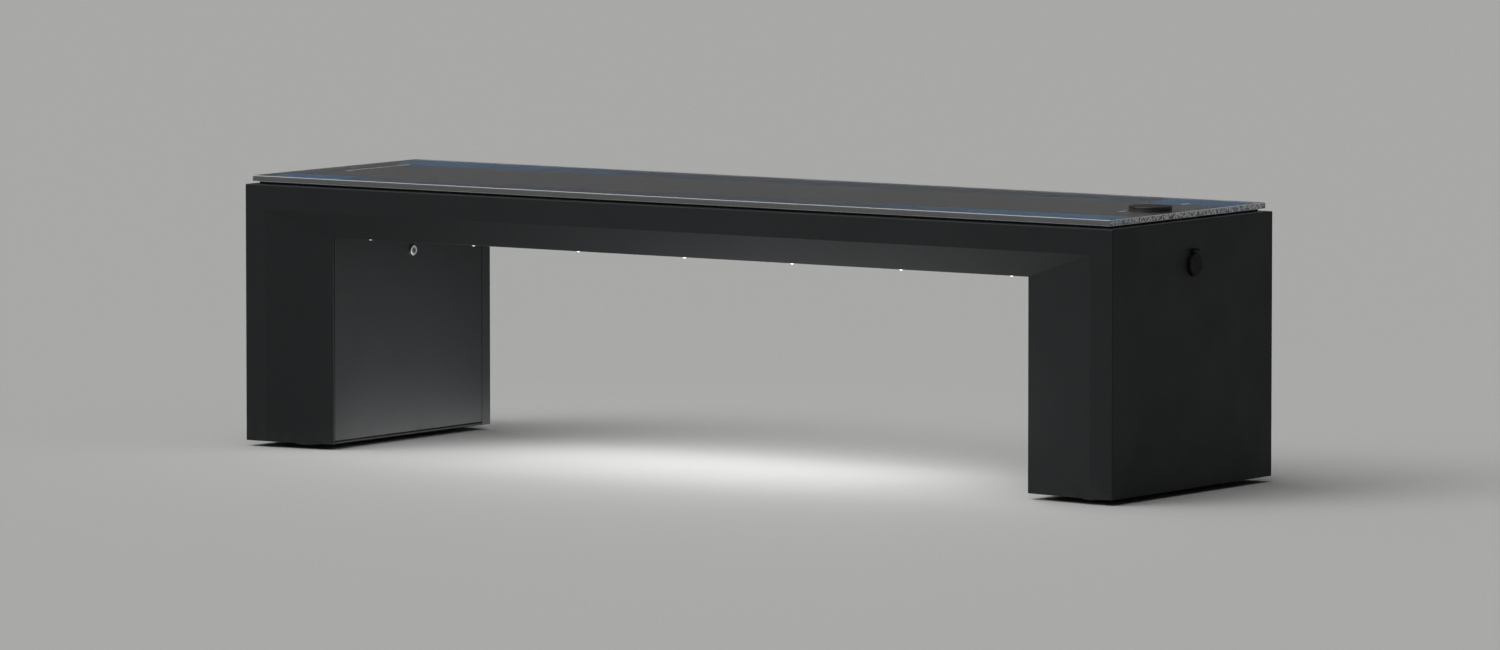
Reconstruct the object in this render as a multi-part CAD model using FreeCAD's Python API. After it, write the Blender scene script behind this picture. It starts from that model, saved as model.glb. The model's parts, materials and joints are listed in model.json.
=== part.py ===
import FreeCAD, Part
import math
import os

# Solar charging bench, millimetres. +X runs along the seat to the socket end, -Y is the
# front, +Z is up. The origin is on the ground, under the middle of the seat.

# Steel body
length = 1800.0
depth = 495.0
body_height = 448.0
floor_gap = 10.0
leg_width = 178.0
beam_height = 87.0
leg_band = 44.0
beam_band = 43.0
bevel_depth = 17.0
sheet = 3.0
fold_radius = 1.5
rim_radius = 1.0
base_thickness = 4.0
rib_sheet = 3.0
rib_spacing = 670.0
rib_window_width = 110.0
rib_window_height = 60.0
rib_window_offset = 75.0
led_notch_width = 30.0
led_notch_height = 28.0

# Glass seat and the solar laminate under it
glass_thickness = 10.0
glass_inset = 8.0
glass_corner = 4.0
glass_arris = 0.8
laminate_inset = 10.0
cell_length = 156.0
cell_width = 78.0
cell_thickness = 0.4
cell_gap = 2.5
cell_margin = 4.0
backsheet_thickness = 1.0
tape_height = 3.6
tape_width = 20.0
support_width = 25.0
support_spacing = 110.0
support_end_clear = 120.0
junction_length = 90.0
junction_width = 60.0
junction_height = 30.0
junction_clearance = 4.0
junction_corner = 2.0
junction_gland_length = 8.0
junction_gland_wall = 1.0
junction_rib_gap = 40.5
junction_strip_gap = 1.0

# Wireless charger puck
puck_end_offset = 78.0
puck_front_shift = 12.0
puck_diameter = 73.0
puck_base_height = 3.0
puck_groove = 0.8
puck_groove_depth = 2.0
puck_cover_height = 3.2
puck_step = 1.2
stem_diameter = 18.0
stem_bore = 8.0
stem_clearance = 1.0
stem_tail = 18.0
puck_nut_width = 27.0
puck_nut_height = 7.0
coil_outer = 54.0
coil_inner = 22.0
coil_height = 1.6

# Light points under the front rim
light_count = 7
light_pitch = 222.2
light_setback = 51.5
light_barrel = 15.0
light_flange = 18.0
light_flange_height = 1.6
light_barrel_height = 18.0
light_collar = 19.0
light_collar_height = 3.0
lens_diameter = 8.0
lens_dome_radius = 4.2
lens_depth = 6.0
fit_clearance = 0.3
slip_clearance = 0.05

# Service flap in the inner face of the left leg
flap_sheet = 2.0
flap_gap = 1.5
flap_return = 15.0
flap_rail = 21.5
stiffener_width = 30.0
stiffener_depth = 12.0
stiffener_sheet = 1.5
stiffener_spacing = 220.0
stiffener_end = 32.0
frame_rail = 20.0
frame_sill = 16.0
frame_head = 29.0
frame_sheet = 3.0
gasket_thickness = 2.7
gasket_width = 9.0

# Piano hinge along the bottom edge of the flap
knuckle_radius = 3.0
hinge_pin_radius = 1.5
hinge_leaf = 1.5
hinge_leaf_height = 25.0
hinge_leaf_depth = 13.0
knuckle_count = 11
knuckle_gap = 0.4

# Cam lock in the flap
lock_drop = 36.5
lock_head_diameter = 18.0
lock_head_height = 4.0
lock_head_edge = 1.0
lock_barrel_diameter = 16.0
lock_plug_diameter = 10.0
lock_plug_recess = 0.6
lock_nut_width = 22.0
lock_nut_height = 4.0
key_slot_width = 1.6
key_slot_height = 7.0
key_slot_depth = 9.0
cam_thickness = 2.5
cam_width = 16.0
cam_reach = 30.0
cam_corner = 4.0
cam_setback = 1.5
cam_screw_head = 9.0
cam_screw_height = 3.0
cam_screw_shank = 5.0
cam_screw_length = 8.0

# Round charging socket with a hinged cap, on the right end
socket_drop = 73.7
socket_flange_diameter = 40.0
socket_flange_height = 2.5
socket_barrel_diameter = 29.0
socket_barrel_length = 45.0
socket_bore = 24.0
socket_recess = 6.0
socket_back_wall = 7.0
socket_nut_diameter = 40.0
socket_nut_height = 6.0
socket_notch_count = 8
socket_notch_diameter = 4.0
socket_notch_wall = 1.0
port_width = 12.4
port_height = 4.8
port_depth = 14.0
port_pitch = 9.0
tongue_thickness = 1.8
tongue_width = 10.6
tongue_drop = 0.6
tongue_setback = 1.0
cap_diameter = 38.0
cap_thickness = 3.5
cap_edge = 1.0
cap_lip_width = 9.0
cap_lip_height = 3.0
cap_lip_thickness = 1.2
cap_seal_depth = 1.5
cap_seal_wall = 1.5
cap_seal_gap = 0.6
cap_hinge_rise = 24.0
cap_hinge_gap = 0.45
cap_knuckle_radius = 2.3
cap_pin_radius = 1.0
cap_tongue_width = 10.0
ear_width = 3.6

# Battery and electronics in the left leg
battery_width = 138.0
battery_length = 229.0
battery_height = 208.0
battery_edge = 4.0
battery_wall_gap = 4.0
battery_front_gap = 28.0
battery_plate_gap = 22.0
tray_sheet = 2.0
tray_rise = 17.0
tray_lip = 26.0
tray_clearance = 1.0
post_diameter = 14.0
post_height = 9.0
post_spacing = 80.0
post_inset = 30.0
strap_width = 25.0
strap_thickness = 1.5
plate_sheet = 3.0
plate_margin = 2.0
plate_base_gap = 14.0
controller_width = 130.0
controller_height = 140.0
controller_depth = 30.0
fin_count = 9
fin_start = 24.0
fin_height = 22.0
fin_thickness = 2.5
control_width = 120.0
control_height = 120.0
control_depth = 48.0
control_lid = 6.0
control_lid_rim = 4.0
device_gap = 16.0
fuse_width = 84.0
fuse_height = 34.0
fuse_depth = 32.0
fuse_gap = 4.0

# Leads
power_lead = 8.0
signal_lead = 6.0
light_lead = 4.0
lead_bend = 14.0
lead_drop = 28.0
solar_lead_turn = 40.0
solar_lead_shift = 50.0
solar_lead_entry = 48.0
battery_lead_bend = 9.0
battery_lead_rise = 20.0
battery_lead_pitch = 11.0
battery_lead_entry = 16.0
battery_lead_step = 32.0
socket_lead_turn = 30.0
charger_lead_turn = 20.0
charger_lead_reach = 60.0
charger_lead_dip = 25.0
charger_lead_insert = 10.0
light_lead_edge = 12.0
light_lead_start = 70.0
light_lead_end = 30.0
clip_length = 14.0
clip_wall = 4.0
clip_count = 4
clip_spacing = 380.0

# Levelling feet
foot_end_offset = 80.0
foot_side_offset = 78.0
pad_diameter = 50.0
pad_height = 8.0
pad_edge = 1.5
foot_thread = 12.0
foot_nut_width = 19.0
foot_nut_height = 11.0
foot_stem_tail = 2.0

# Levels and planes worked out from the sizes above
bottom_z = floor_gap
top_z = bottom_z + body_height
under_z = top_z - beam_height
ridge_z = top_z - beam_band
ridge_x = length / 2 - leg_band
inner_x = length / 2 - leg_width
base_top_z = bottom_z + base_thickness
deck_z = top_z - sheet
bevel_y = depth / 2 - bevel_depth
skin_y = depth / 2 - sheet
panel_y = bevel_y - sheet

tape_top_z = top_z + tape_height
backsheet_top_z = tape_top_z + backsheet_thickness
glass_z = backsheet_top_z + cell_thickness
glass_top_z = glass_z + glass_thickness
glass_x = length / 2 - glass_inset
glass_y = depth / 2 - glass_inset
laminate_x = glass_x - laminate_inset
laminate_y = glass_y - laminate_inset

puck_x = length / 2 - puck_end_offset
puck_y = -puck_front_shift
puck_rib_z = glass_top_z + puck_base_height
puck_cover_z = puck_rib_z + puck_groove
puck_top_z = puck_cover_z + puck_cover_height
stem_bottom_z = deck_z - stem_tail

light_y = -depth / 2 + light_setback
light_top_z = under_z + light_barrel_height

flap_front_y = -panel_y + flap_gap
flap_back_y = panel_y - flap_rail - flap_gap
flap_top_z = under_z - flap_gap
hinge_x = -inner_x - knuckle_radius
hinge_z = bottom_z + knuckle_radius
frame_x = -inner_x - flap_sheet - flap_return - frame_sheet
opening_front_y = -panel_y + frame_rail
opening_back_y = panel_y - flap_rail - frame_rail
opening_sill_z = base_top_z + frame_sill
opening_head_z = under_z + sheet - frame_head

lock_z = under_z - lock_drop
cam_x = frame_x - frame_sheet - cam_setback

socket_z = top_z - socket_drop
socket_face_x = length / 2 + socket_flange_height
cap_hinge_x = socket_face_x + cap_knuckle_radius + cap_hinge_gap
cap_hinge_z = socket_z + cap_hinge_rise

battery_x = -length / 2 + sheet + battery_wall_gap + battery_width / 2
battery_y = -skin_y + battery_front_gap + battery_length / 2
tray_z = base_top_z + tray_rise
battery_z = tray_z + tray_sheet
battery_top_z = battery_z + battery_height

plate_x = -length / 2 + sheet + plate_sheet
plate_front_y = battery_y + battery_length / 2 + battery_plate_gap
plate_z = base_top_z + plate_base_gap
device_y = plate_front_y + plate_margin + controller_width / 2
fuse_z = plate_z + plate_margin
controller_z = fuse_z + fuse_height + fuse_gap
control_z = controller_z + controller_height + device_gap
plate_back_y = device_y + controller_width / 2 + plate_margin
plate_top_z = control_z + control_height + control_lid_rim + plate_margin

junction_x = -rib_spacing / 2 - rib_sheet / 2 - junction_rib_gap - junction_length / 2
junction_edge_y = -support_spacing / 2 - support_width / 2 - junction_strip_gap - junction_clearance
junction_y = junction_edge_y - junction_width / 2
junction_z = tape_top_z - junction_height
gland_radius = power_lead / 2 + junction_gland_wall
gland_z = junction_z + gland_radius

lead_z = deck_z - lead_drop


def box(x0, x1, y0, y1, z0, z1):
    corner = FreeCAD.Vector(min(x0, x1), min(y0, y1), min(z0, z1))
    return Part.makeBox(abs(x1 - x0), abs(y1 - y0), abs(z1 - z0), corner)


def rod_x(x0, x1, y, z, radius):
    start = FreeCAD.Vector(min(x0, x1), y, z)
    return Part.makeCylinder(radius, abs(x1 - x0), start, FreeCAD.Vector(1, 0, 0))


def rod_y(x, y0, y1, z, radius):
    start = FreeCAD.Vector(x, min(y0, y1), z)
    return Part.makeCylinder(radius, abs(y1 - y0), start, FreeCAD.Vector(0, 1, 0))


def rod_z(x, y, z0, z1, radius):
    start = FreeCAD.Vector(x, y, min(z0, z1))
    return Part.makeCylinder(radius, abs(z1 - z0), start, FreeCAD.Vector(0, 0, 1))


def prism(points, travel):
    corners = [FreeCAD.Vector(*p) for p in points]
    outline = Part.makePolygon(corners + [corners[0]])
    return Part.Face(outline).extrude(FreeCAD.Vector(*travel))


def hexagon_x(x0, x1, y, z, width):
    radius = width / math.sqrt(3)
    points = []
    for i in range(6):
        turn = math.radians(60 * i)
        points.append((x0, y + radius * math.cos(turn), z + radius * math.sin(turn)))
    return prism(points, (x1 - x0, 0, 0))


def hexagon_z(x, y, z0, z1, width):
    radius = width / math.sqrt(3)
    points = []
    for i in range(6):
        turn = math.radians(60 * i)
        points.append((x + radius * math.cos(turn), y + radius * math.sin(turn), z0))
    return prism(points, (0, 0, z1 - z0))


def joined(shapes):
    whole = shapes[0]
    if len(shapes) > 1:
        whole = whole.fuse(shapes[1:])
    return whole.removeSplitter()


def upright_edges(shape, tolerance=0.001):
    found = []
    for edge in shape.Edges:
        span = edge.BoundBox
        if span.XLength < tolerance and span.YLength < tolerance and span.ZLength > tolerance:
            found.append(edge)
    return found


def edges_between(shape, first, last, tolerance=0.001):
    # edges whose box spans exactly from one corner point to the other
    low = [min(a, b) for a, b in zip(first, last)]
    high = [max(a, b) for a, b in zip(first, last)]
    found = []
    for edge in shape.Edges:
        span = edge.BoundBox
        starts = (span.XMin, span.YMin, span.ZMin)
        ends = (span.XMax, span.YMax, span.ZMax)
        apart = [abs(a - b) for a, b in zip(starts + ends, low + high)]
        if max(apart) < tolerance:
            found.append(edge)
    return found


def edges_at_z(shape, level, tolerance=0.001):
    found = []
    for edge in shape.Edges:
        span = edge.BoundBox
        if abs(span.ZMin - level) < tolerance and abs(span.ZMax - level) < tolerance:
            found.append(edge)
    return found


def edges_at_x(shape, level, tolerance=0.001):
    found = []
    for edge in shape.Edges:
        span = edge.BoundBox
        if abs(span.XMin - level) < tolerance and abs(span.XMax - level) < tolerance:
            found.append(edge)
    return found


def save(name, shapes):
    if len(shapes) == 1:
        shape = shapes[0]
    else:
        shape = Part.makeCompound(shapes)
    solids = shape.Solids
    if not shape.isValid():
        print("not valid:", name)
    if len(solids) != len(shapes):
        print("solids of", name, "expected", len(shapes), "found", len(solids))
    shape.exportStep("parts/" + name + ".step")
    print(name, len(solids), round(sum(s.Volume for s in solids) / 1000, 2), "cm3")


def bevel_inside_y(x):
    # inner surface of the leg's sloping face, at a distance x from the middle
    return skin_y - bevel_depth * (ridge_x - x) / (ridge_x - inner_x)


# Steel body


def beam_fascia(side):
    outer = side * depth / 2
    inner = side * bevel_y
    inward = (0, -side * sheet, 0)
    end = length / 2
    band = [(-end, outer, ridge_z), (end, outer, ridge_z), (end, outer, top_z), (-end, outer, top_z)]
    bevel = [
        (-ridge_x, outer, ridge_z),
        (ridge_x, outer, ridge_z),
        (inner_x, inner, under_z),
        (-inner_x, inner, under_z),
    ]
    fascia = joined([prism(band, inward), prism(bevel, inward)])
    fold = edges_between(fascia, (-end, outer, top_z), (end, outer, top_z))
    for tip in (-end, end):
        fold += edges_between(fascia, (tip, outer, ridge_z), (tip, outer, top_z))
        fold += edges_between(fascia, (tip, outer, top_z), (tip, outer - side * sheet, top_z))
    rim = edges_between(fascia, (-inner_x, inner, under_z), (inner_x, inner, under_z))
    return fascia.makeFillet(fold_radius, fold).makeFillet(rim_radius, rim)


def leg_fascia(end, side):
    outer = side * depth / 2
    inner = side * bevel_y
    inward = (0, -side * sheet, 0)
    tip = end * length / 2
    ridge = end * ridge_x
    rim = end * inner_x
    band = [(tip, outer, bottom_z), (ridge, outer, bottom_z), (ridge, outer, ridge_z), (tip, outer, ridge_z)]
    bevel = [
        (ridge, outer, bottom_z),
        (rim, inner, bottom_z),
        (rim, inner, under_z),
        (ridge, outer, ridge_z),
    ]
    fascia = joined([prism(band, inward), prism(bevel, inward)])
    fold = edges_between(fascia, (tip, outer, bottom_z), (tip, outer, ridge_z))
    edge = edges_between(fascia, (rim, inner, bottom_z), (rim, inner, under_z))
    return fascia.makeFillet(fold_radius, fold).makeFillet(rim_radius, edge)


def end_panel(end):
    panel = box(end * length / 2, end * (length / 2 - sheet), -skin_y, skin_y, bottom_z, top_z)
    fold = edges_between(panel, (end * length / 2, -skin_y, top_z), (end * length / 2, skin_y, top_z))
    panel = panel.makeFillet(fold_radius, fold)
    if end > 0:
        hole = socket_barrel_diameter / 2 + fit_clearance
        panel = panel.cut(rod_x(0, length, 0, socket_z, hole))
    return panel


def top_deck():
    edge = length / 2 - sheet
    deck = box(-edge, edge, -skin_y, skin_y, deck_z, top_z)
    stem_hole = stem_diameter / 2 + stem_clearance
    deck = deck.cut(rod_z(puck_x, puck_y, deck_z - 1, top_z + 1, stem_hole))
    half_length = junction_length / 2 + junction_clearance
    half_width = junction_width / 2 + junction_clearance
    window = box(
        junction_x - half_length,
        junction_x + half_length,
        junction_y - half_width,
        junction_y + half_width,
        deck_z - 1,
        top_z + 1,
    )
    return deck.cut(window)


def light_places():
    middle = (light_count - 1) / 2
    return [(i - middle) * light_pitch for i in range(light_count)]


def beam_underside():
    panel = box(-inner_x, inner_x, -panel_y, panel_y, under_z, under_z + sheet)
    hole = light_barrel / 2 + fit_clearance
    for x in light_places():
        panel = panel.cut(rod_z(x, light_y, under_z - 1, under_z + sheet + 1, hole))
    return panel


def right_leg_panel():
    return box(inner_x, inner_x + sheet, -panel_y, panel_y, bottom_z, under_z + sheet)


def left_leg_frame():
    # rail beside the flap, the web behind it, and the stop frame that the flap closes on
    rail_y = flap_back_y + flap_gap
    rail = box(-inner_x - sheet, -inner_x, rail_y, panel_y, bottom_z, under_z + sheet)
    web = box(frame_x, -inner_x, rail_y, rail_y + sheet, base_top_z, under_z + sheet)
    edge_y = bevel_inside_y(-frame_x) - slip_clearance
    stop = box(frame_x - frame_sheet, frame_x, -edge_y, edge_y, base_top_z, under_z + sheet)
    hole = box(
        frame_x - frame_sheet - 1,
        frame_x + 1,
        opening_front_y,
        opening_back_y,
        opening_sill_z,
        opening_head_z,
    )
    return joined([rail, web, stop.cut(hole)])


def base_plate(end):
    if end > 0:
        inner = inner_x + sheet
    else:
        inner = -hinge_x + knuckle_radius + knuckle_gap
    outer = length / 2 - sheet
    inner_y = bevel_inside_y(inner) - slip_clearance
    ridge_y = skin_y - slip_clearance
    points = [
        (end * inner, -inner_y, bottom_z),
        (end * ridge_x, -ridge_y, bottom_z),
        (end * outer, -ridge_y, bottom_z),
        (end * outer, ridge_y, bottom_z),
        (end * ridge_x, ridge_y, bottom_z),
        (end * inner, inner_y, bottom_z),
    ]
    plate = prism(points, (0, 0, base_thickness))
    for side in (-1, 1):
        x, y = foot_place(end, side)
        nut = hexagon_z(x, y, base_top_z, base_top_z + foot_nut_height, foot_nut_width)
        plate = plate.fuse(nut)
        hole = foot_thread / 2 + slip_clearance
        plate = plate.cut(rod_z(x, y, bottom_z - 1, base_top_z + foot_nut_height + 1, hole))
    return plate.removeSplitter()


def rib_places():
    over_leg = inner_x + rib_sheet / 2
    return [-over_leg, -rib_spacing / 2, rib_spacing / 2, over_leg]


def beam_rib(x):
    foot_z = under_z + sheet
    foot_y = skin_y - bevel_depth * (ridge_z - foot_z) / (ridge_z - under_z) - slip_clearance
    edge_y = skin_y - slip_clearance
    x0 = x - rib_sheet / 2
    points = [
        (x0, -foot_y, foot_z),
        (x0, -edge_y, ridge_z),
        (x0, -edge_y, deck_z),
        (x0, edge_y, deck_z),
        (x0, edge_y, ridge_z),
        (x0, foot_y, foot_z),
    ]
    rib = prism(points, (rib_sheet, 0, 0))
    middle_z = (foot_z + deck_z) / 2
    for y in (-rib_window_offset, rib_window_offset):
        window = box(
            x0 - 1,
            x0 + rib_sheet + 1,
            y - rib_window_width / 2,
            y + rib_window_width / 2,
            middle_z - rib_window_height / 2,
            middle_z + rib_window_height / 2,
        )
        rib = rib.cut(window)
    notch = box(
        x0 - 1,
        x0 + rib_sheet + 1,
        light_y - led_notch_width / 2,
        light_y + led_notch_width / 2,
        foot_z - 1,
        foot_z + led_notch_height,
    )
    return rib.cut(notch)


# Glass seat and solar laminate


def glass_top():
    plate = box(-glass_x, glass_x, -glass_y, glass_y, glass_z, glass_top_z)
    plate = plate.makeFillet(glass_corner, upright_edges(plate))
    rims = edges_at_z(plate, glass_z) + edges_at_z(plate, glass_top_z)
    plate = plate.makeChamfer(glass_arris, rims)
    hole = stem_diameter / 2 + stem_clearance
    return plate.cut(rod_z(puck_x, puck_y, glass_z - 1, glass_top_z + 1, hole))


def solar_backsheet():
    sheet_body = box(-laminate_x, laminate_x, -laminate_y, laminate_y, tape_top_z, backsheet_top_z)
    hole = stem_diameter / 2 + stem_clearance
    return sheet_body.cut(rod_z(puck_x, puck_y, tape_top_z - 1, backsheet_top_z + 1, hole))


def cell_string(side):
    room = 2 * (laminate_x - cell_margin)
    count = int((room + cell_gap) / (cell_length + cell_gap))
    pitch = cell_length + cell_gap
    outer = side * (laminate_y - cell_margin)
    inner = outer - side * cell_width
    cells = []
    for i in range(count):
        x = (i - (count - 1) / 2) * pitch
        cells.append(box(x - cell_length / 2, x + cell_length / 2, outer, inner, backsheet_top_z, glass_z))
    return cells


def edge_tapes():
    inner_edge_y = laminate_y - tape_width
    inner_edge_x = laminate_x - tape_width
    front = box(-laminate_x, laminate_x, -laminate_y, -inner_edge_y, top_z, tape_top_z)
    back = box(-laminate_x, laminate_x, inner_edge_y, laminate_y, top_z, tape_top_z)
    left = box(-laminate_x, -inner_edge_x, -inner_edge_y, inner_edge_y, top_z, tape_top_z)
    right = box(inner_edge_x, laminate_x, -inner_edge_y, inner_edge_y, top_z, tape_top_z)
    return [front, back, left, right]


def support_strips():
    strips = []
    end = laminate_x - support_end_clear
    for i in (-0.5, 0.5):
        y = i * support_spacing
        strips.append(box(-end, end, y - support_width / 2, y + support_width / 2, top_z, tape_top_z))
    return strips


def junction_box():
    half_length = junction_length / 2
    half_width = junction_width / 2
    case = box(
        junction_x - half_length,
        junction_x + half_length,
        junction_y - half_width,
        junction_y + half_width,
        junction_z,
        tape_top_z,
    )
    case = case.makeFillet(junction_corner, upright_edges(case))
    case_x = junction_x - half_length
    gland = rod_x(case_x - junction_gland_length, junction_x, junction_y, gland_z, gland_radius)
    throat = rod_x(case_x - junction_gland_length - 1, case_x, junction_y, gland_z,
                   power_lead / 2 + slip_clearance)
    return joined([case, gland]).cut(throat)


# Wireless charger puck


def charger_base():
    radius = puck_diameter / 2
    disc = rod_z(puck_x, puck_y, glass_top_z, puck_rib_z, radius)
    disc = disc.makeChamfer(puck_step / 2, edges_at_z(disc, puck_rib_z))
    neck = rod_z(puck_x, puck_y, puck_rib_z, puck_cover_z, radius - puck_groove_depth)
    pocket = rod_z(puck_x, puck_y, puck_cover_z - coil_height, puck_cover_z, coil_outer / 2 + fit_clearance)
    stem = rod_z(puck_x, puck_y, stem_bottom_z, glass_top_z, stem_diameter / 2)
    bore = rod_z(puck_x, puck_y, stem_bottom_z - 1, puck_cover_z - coil_height, stem_bore / 2)
    body = joined([disc, neck, stem])
    return body.cut(pocket).cut(bore)


def charger_coil():
    ring = rod_z(puck_x, puck_y, puck_cover_z - coil_height, puck_cover_z - slip_clearance, coil_outer / 2)
    hole = rod_z(puck_x, puck_y, puck_cover_z - coil_height - 1, puck_cover_z + 1, coil_inner / 2)
    return ring.cut(hole)


def charger_cover():
    cover = rod_z(puck_x, puck_y, puck_cover_z, puck_top_z, puck_diameter / 2)
    return cover.makeFillet(puck_step, edges_at_z(cover, puck_top_z))


def charger_nut():
    nut = hexagon_z(puck_x, puck_y, deck_z - puck_nut_height, deck_z, puck_nut_width)
    return nut.cut(rod_z(puck_x, puck_y, deck_z - puck_nut_height - 1, deck_z + 1,
                         stem_diameter / 2 + slip_clearance))


# Light points


def light_housing(x):
    flange = rod_z(x, light_y, under_z - light_flange_height, under_z, light_flange / 2)
    barrel = rod_z(x, light_y, under_z, light_top_z, light_barrel / 2)
    collar_z = under_z + sheet
    collar = rod_z(x, light_y, collar_z, collar_z + light_collar_height, light_collar / 2)
    lens_top = under_z - light_flange_height + lens_depth
    bore = rod_z(x, light_y, under_z - light_flange_height - 1, lens_top, lens_diameter / 2 + slip_clearance)
    return joined([flange, barrel, collar]).cut(bore)


def light_lens(x):
    rim_z = under_z - light_flange_height
    radius = lens_diameter / 2
    rise = math.sqrt(lens_dome_radius ** 2 - radius ** 2)
    ball = Part.makeSphere(lens_dome_radius, FreeCAD.Vector(x, light_y, rim_z + rise))
    below = rod_z(x, light_y, rim_z - lens_dome_radius, rim_z, radius)
    stud = rod_z(x, light_y, rim_z, rim_z + lens_depth, radius)
    return joined([ball.common(below), stud])


# Service flap, hinge and lock


def service_flap():
    face_x = -inner_x - flap_sheet
    back_x = face_x - flap_return
    low_z = hinge_z + knuckle_radius + fit_clearance
    return_z = base_top_z + hinge_leaf + flap_gap
    plate = box(face_x, -inner_x, flap_front_y, flap_back_y, low_z, flap_top_z)
    front = box(back_x, face_x, flap_front_y, flap_front_y + flap_sheet, return_z, flap_top_z)
    back = box(back_x, face_x, flap_back_y - flap_sheet, flap_back_y, return_z, flap_top_z)
    head = box(back_x, face_x, flap_front_y, flap_back_y, flap_top_z - flap_sheet, flap_top_z)
    shell = joined([plate, front, back, head])
    for side in (-0.5, 0.5):
        shell = shell.fuse(flap_stiffener(side * stiffener_spacing))
    shell = shell.removeSplitter()
    hole = lock_barrel_diameter / 2 + slip_clearance
    return shell.cut(rod_x(face_x - 1, -inner_x + 1, 0, lock_z, hole))


def flap_stiffener(y):
    face_x = -inner_x - flap_sheet
    back_x = face_x - stiffener_depth
    half = stiffener_width / 2
    inner_half = half - stiffener_sheet
    low_z = opening_sill_z + stiffener_end
    high_z = opening_head_z - stiffener_end
    outer = box(back_x, face_x, y - half, y + half, low_z, high_z)
    inner = box(back_x + stiffener_sheet, face_x, y - inner_half, y + inner_half, low_z - 1, high_z + 1)
    return outer.cut(inner)


def flap_gaskets():
    # four strips glued to the stop frame, round its opening
    x0 = frame_x
    x1 = frame_x + gasket_thickness
    front = flap_front_y + slip_clearance
    back = flap_back_y - slip_clearance
    head = flap_top_z
    sill = base_top_z + hinge_leaf + flap_gap
    left = box(x0, x1, front, front + gasket_width, sill, head)
    right = box(x0, x1, back - gasket_width, back, sill, head)
    upper = box(x0, x1, front + gasket_width, back - gasket_width, head - gasket_width, head)
    lower = box(x0, x1, front + gasket_width, back - gasket_width, sill, sill + gasket_width)
    return [left, right, upper, lower]


def knuckle_spans(first):
    pitch = (flap_back_y - flap_front_y) / knuckle_count
    spans = []
    for i in range(first, knuckle_count, 2):
        y = flap_front_y + i * pitch
        spans.append((y + knuckle_gap / 2, y + pitch - knuckle_gap / 2))
    return spans


def hinge_frame_leaf():
    clear_x = hinge_x - knuckle_radius - knuckle_gap
    leaf_z = base_top_z + hinge_leaf
    leaf = box(clear_x - hinge_leaf_depth, clear_x, flap_front_y, flap_back_y, base_top_z, leaf_z)
    shapes = [leaf]
    for y0, y1 in knuckle_spans(0):
        shapes.append(box(clear_x, hinge_x - hinge_pin_radius, y0, y1, base_top_z, leaf_z))
        shapes.append(rod_y(hinge_x, y0, y1, hinge_z, knuckle_radius))
    bore = rod_y(hinge_x, flap_front_y - 1, flap_back_y + 1, hinge_z, hinge_pin_radius + slip_clearance)
    return joined(shapes).cut(bore)


def hinge_flap_leaf():
    back_x = -inner_x - flap_sheet
    low_z = hinge_z + knuckle_radius + knuckle_gap
    leaf = box(back_x - hinge_leaf, back_x, flap_front_y + flap_sheet, flap_back_y - flap_sheet,
               low_z, low_z + hinge_leaf_height)
    shapes = [leaf]
    for y0, y1 in knuckle_spans(1):
        tab_y0 = max(y0, flap_front_y + flap_sheet)
        shapes.append(box(back_x - hinge_leaf, back_x, tab_y0, y1, hinge_z + hinge_pin_radius, low_z))
        shapes.append(rod_y(hinge_x, y0, y1, hinge_z, knuckle_radius))
    bore = rod_y(hinge_x, flap_front_y - 1, flap_back_y + 1, hinge_z, hinge_pin_radius + slip_clearance)
    return joined(shapes).cut(bore)


def hinge_pin():
    return rod_y(hinge_x, flap_front_y, flap_back_y, hinge_z, hinge_pin_radius)


def lock_body():
    head = rod_x(-inner_x, -inner_x + lock_head_height, 0, lock_z, lock_head_diameter / 2)
    head = head.makeFillet(lock_head_edge, edges_at_x(head, -inner_x + lock_head_height))
    barrel = rod_x(frame_x - frame_sheet, -inner_x, 0, lock_z, lock_barrel_diameter / 2)
    bore = rod_x(frame_x - frame_sheet - 1, 0, 0, lock_z, lock_plug_diameter / 2 + slip_clearance)
    return joined([head, barrel]).cut(bore)


def lock_nut():
    x1 = -inner_x - flap_sheet
    nut = hexagon_x(x1 - lock_nut_height, x1, 0, lock_z, lock_nut_width)
    return nut.cut(rod_x(x1 - lock_nut_height - 1, x1 + 1, 0, lock_z,
                         lock_barrel_diameter / 2 + slip_clearance))


def lock_plug():
    face_x = -inner_x + lock_head_height - lock_plug_recess
    plug = rod_x(cam_x, face_x, 0, lock_z, lock_plug_diameter / 2)
    slot = box(
        face_x - key_slot_depth,
        face_x + 1,
        -key_slot_width / 2,
        key_slot_width / 2,
        lock_z - key_slot_height / 2,
        lock_z + key_slot_height / 2,
    )
    thread = rod_x(cam_x - 1, cam_x + cam_screw_length - cam_thickness, 0, lock_z,
                   cam_screw_shank / 2 + slip_clearance)
    return plug.cut(slot).cut(thread)


def lock_cam():
    # turned aside, clear of the stop frame; a quarter turn lifts it behind the frame's head
    hub = rod_x(cam_x - cam_thickness, cam_x, 0, lock_z, cam_width / 2)
    arm = box(cam_x - cam_thickness, cam_x, 0, cam_reach, lock_z - cam_width / 2, lock_z + cam_width / 2)
    tip_edges = []
    for edge in arm.Edges:
        span = edge.BoundBox
        if abs(span.YMin - cam_reach) < 0.001 and span.ZLength < 0.001 and span.XLength > 1:
            tip_edges.append(edge)
    arm = arm.makeFillet(cam_corner, tip_edges)
    hole = rod_x(cam_x - cam_thickness - 1, cam_x + 1, 0, lock_z, cam_screw_shank / 2 + slip_clearance)
    return joined([hub, arm]).cut(hole)


def cam_screw():
    head_x = cam_x - cam_thickness
    head = rod_x(head_x - cam_screw_height, head_x, 0, lock_z, cam_screw_head / 2)
    shank = rod_x(head_x, head_x + cam_screw_length, 0, lock_z, cam_screw_shank / 2)
    return joined([head, shank])


# Charging socket


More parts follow.
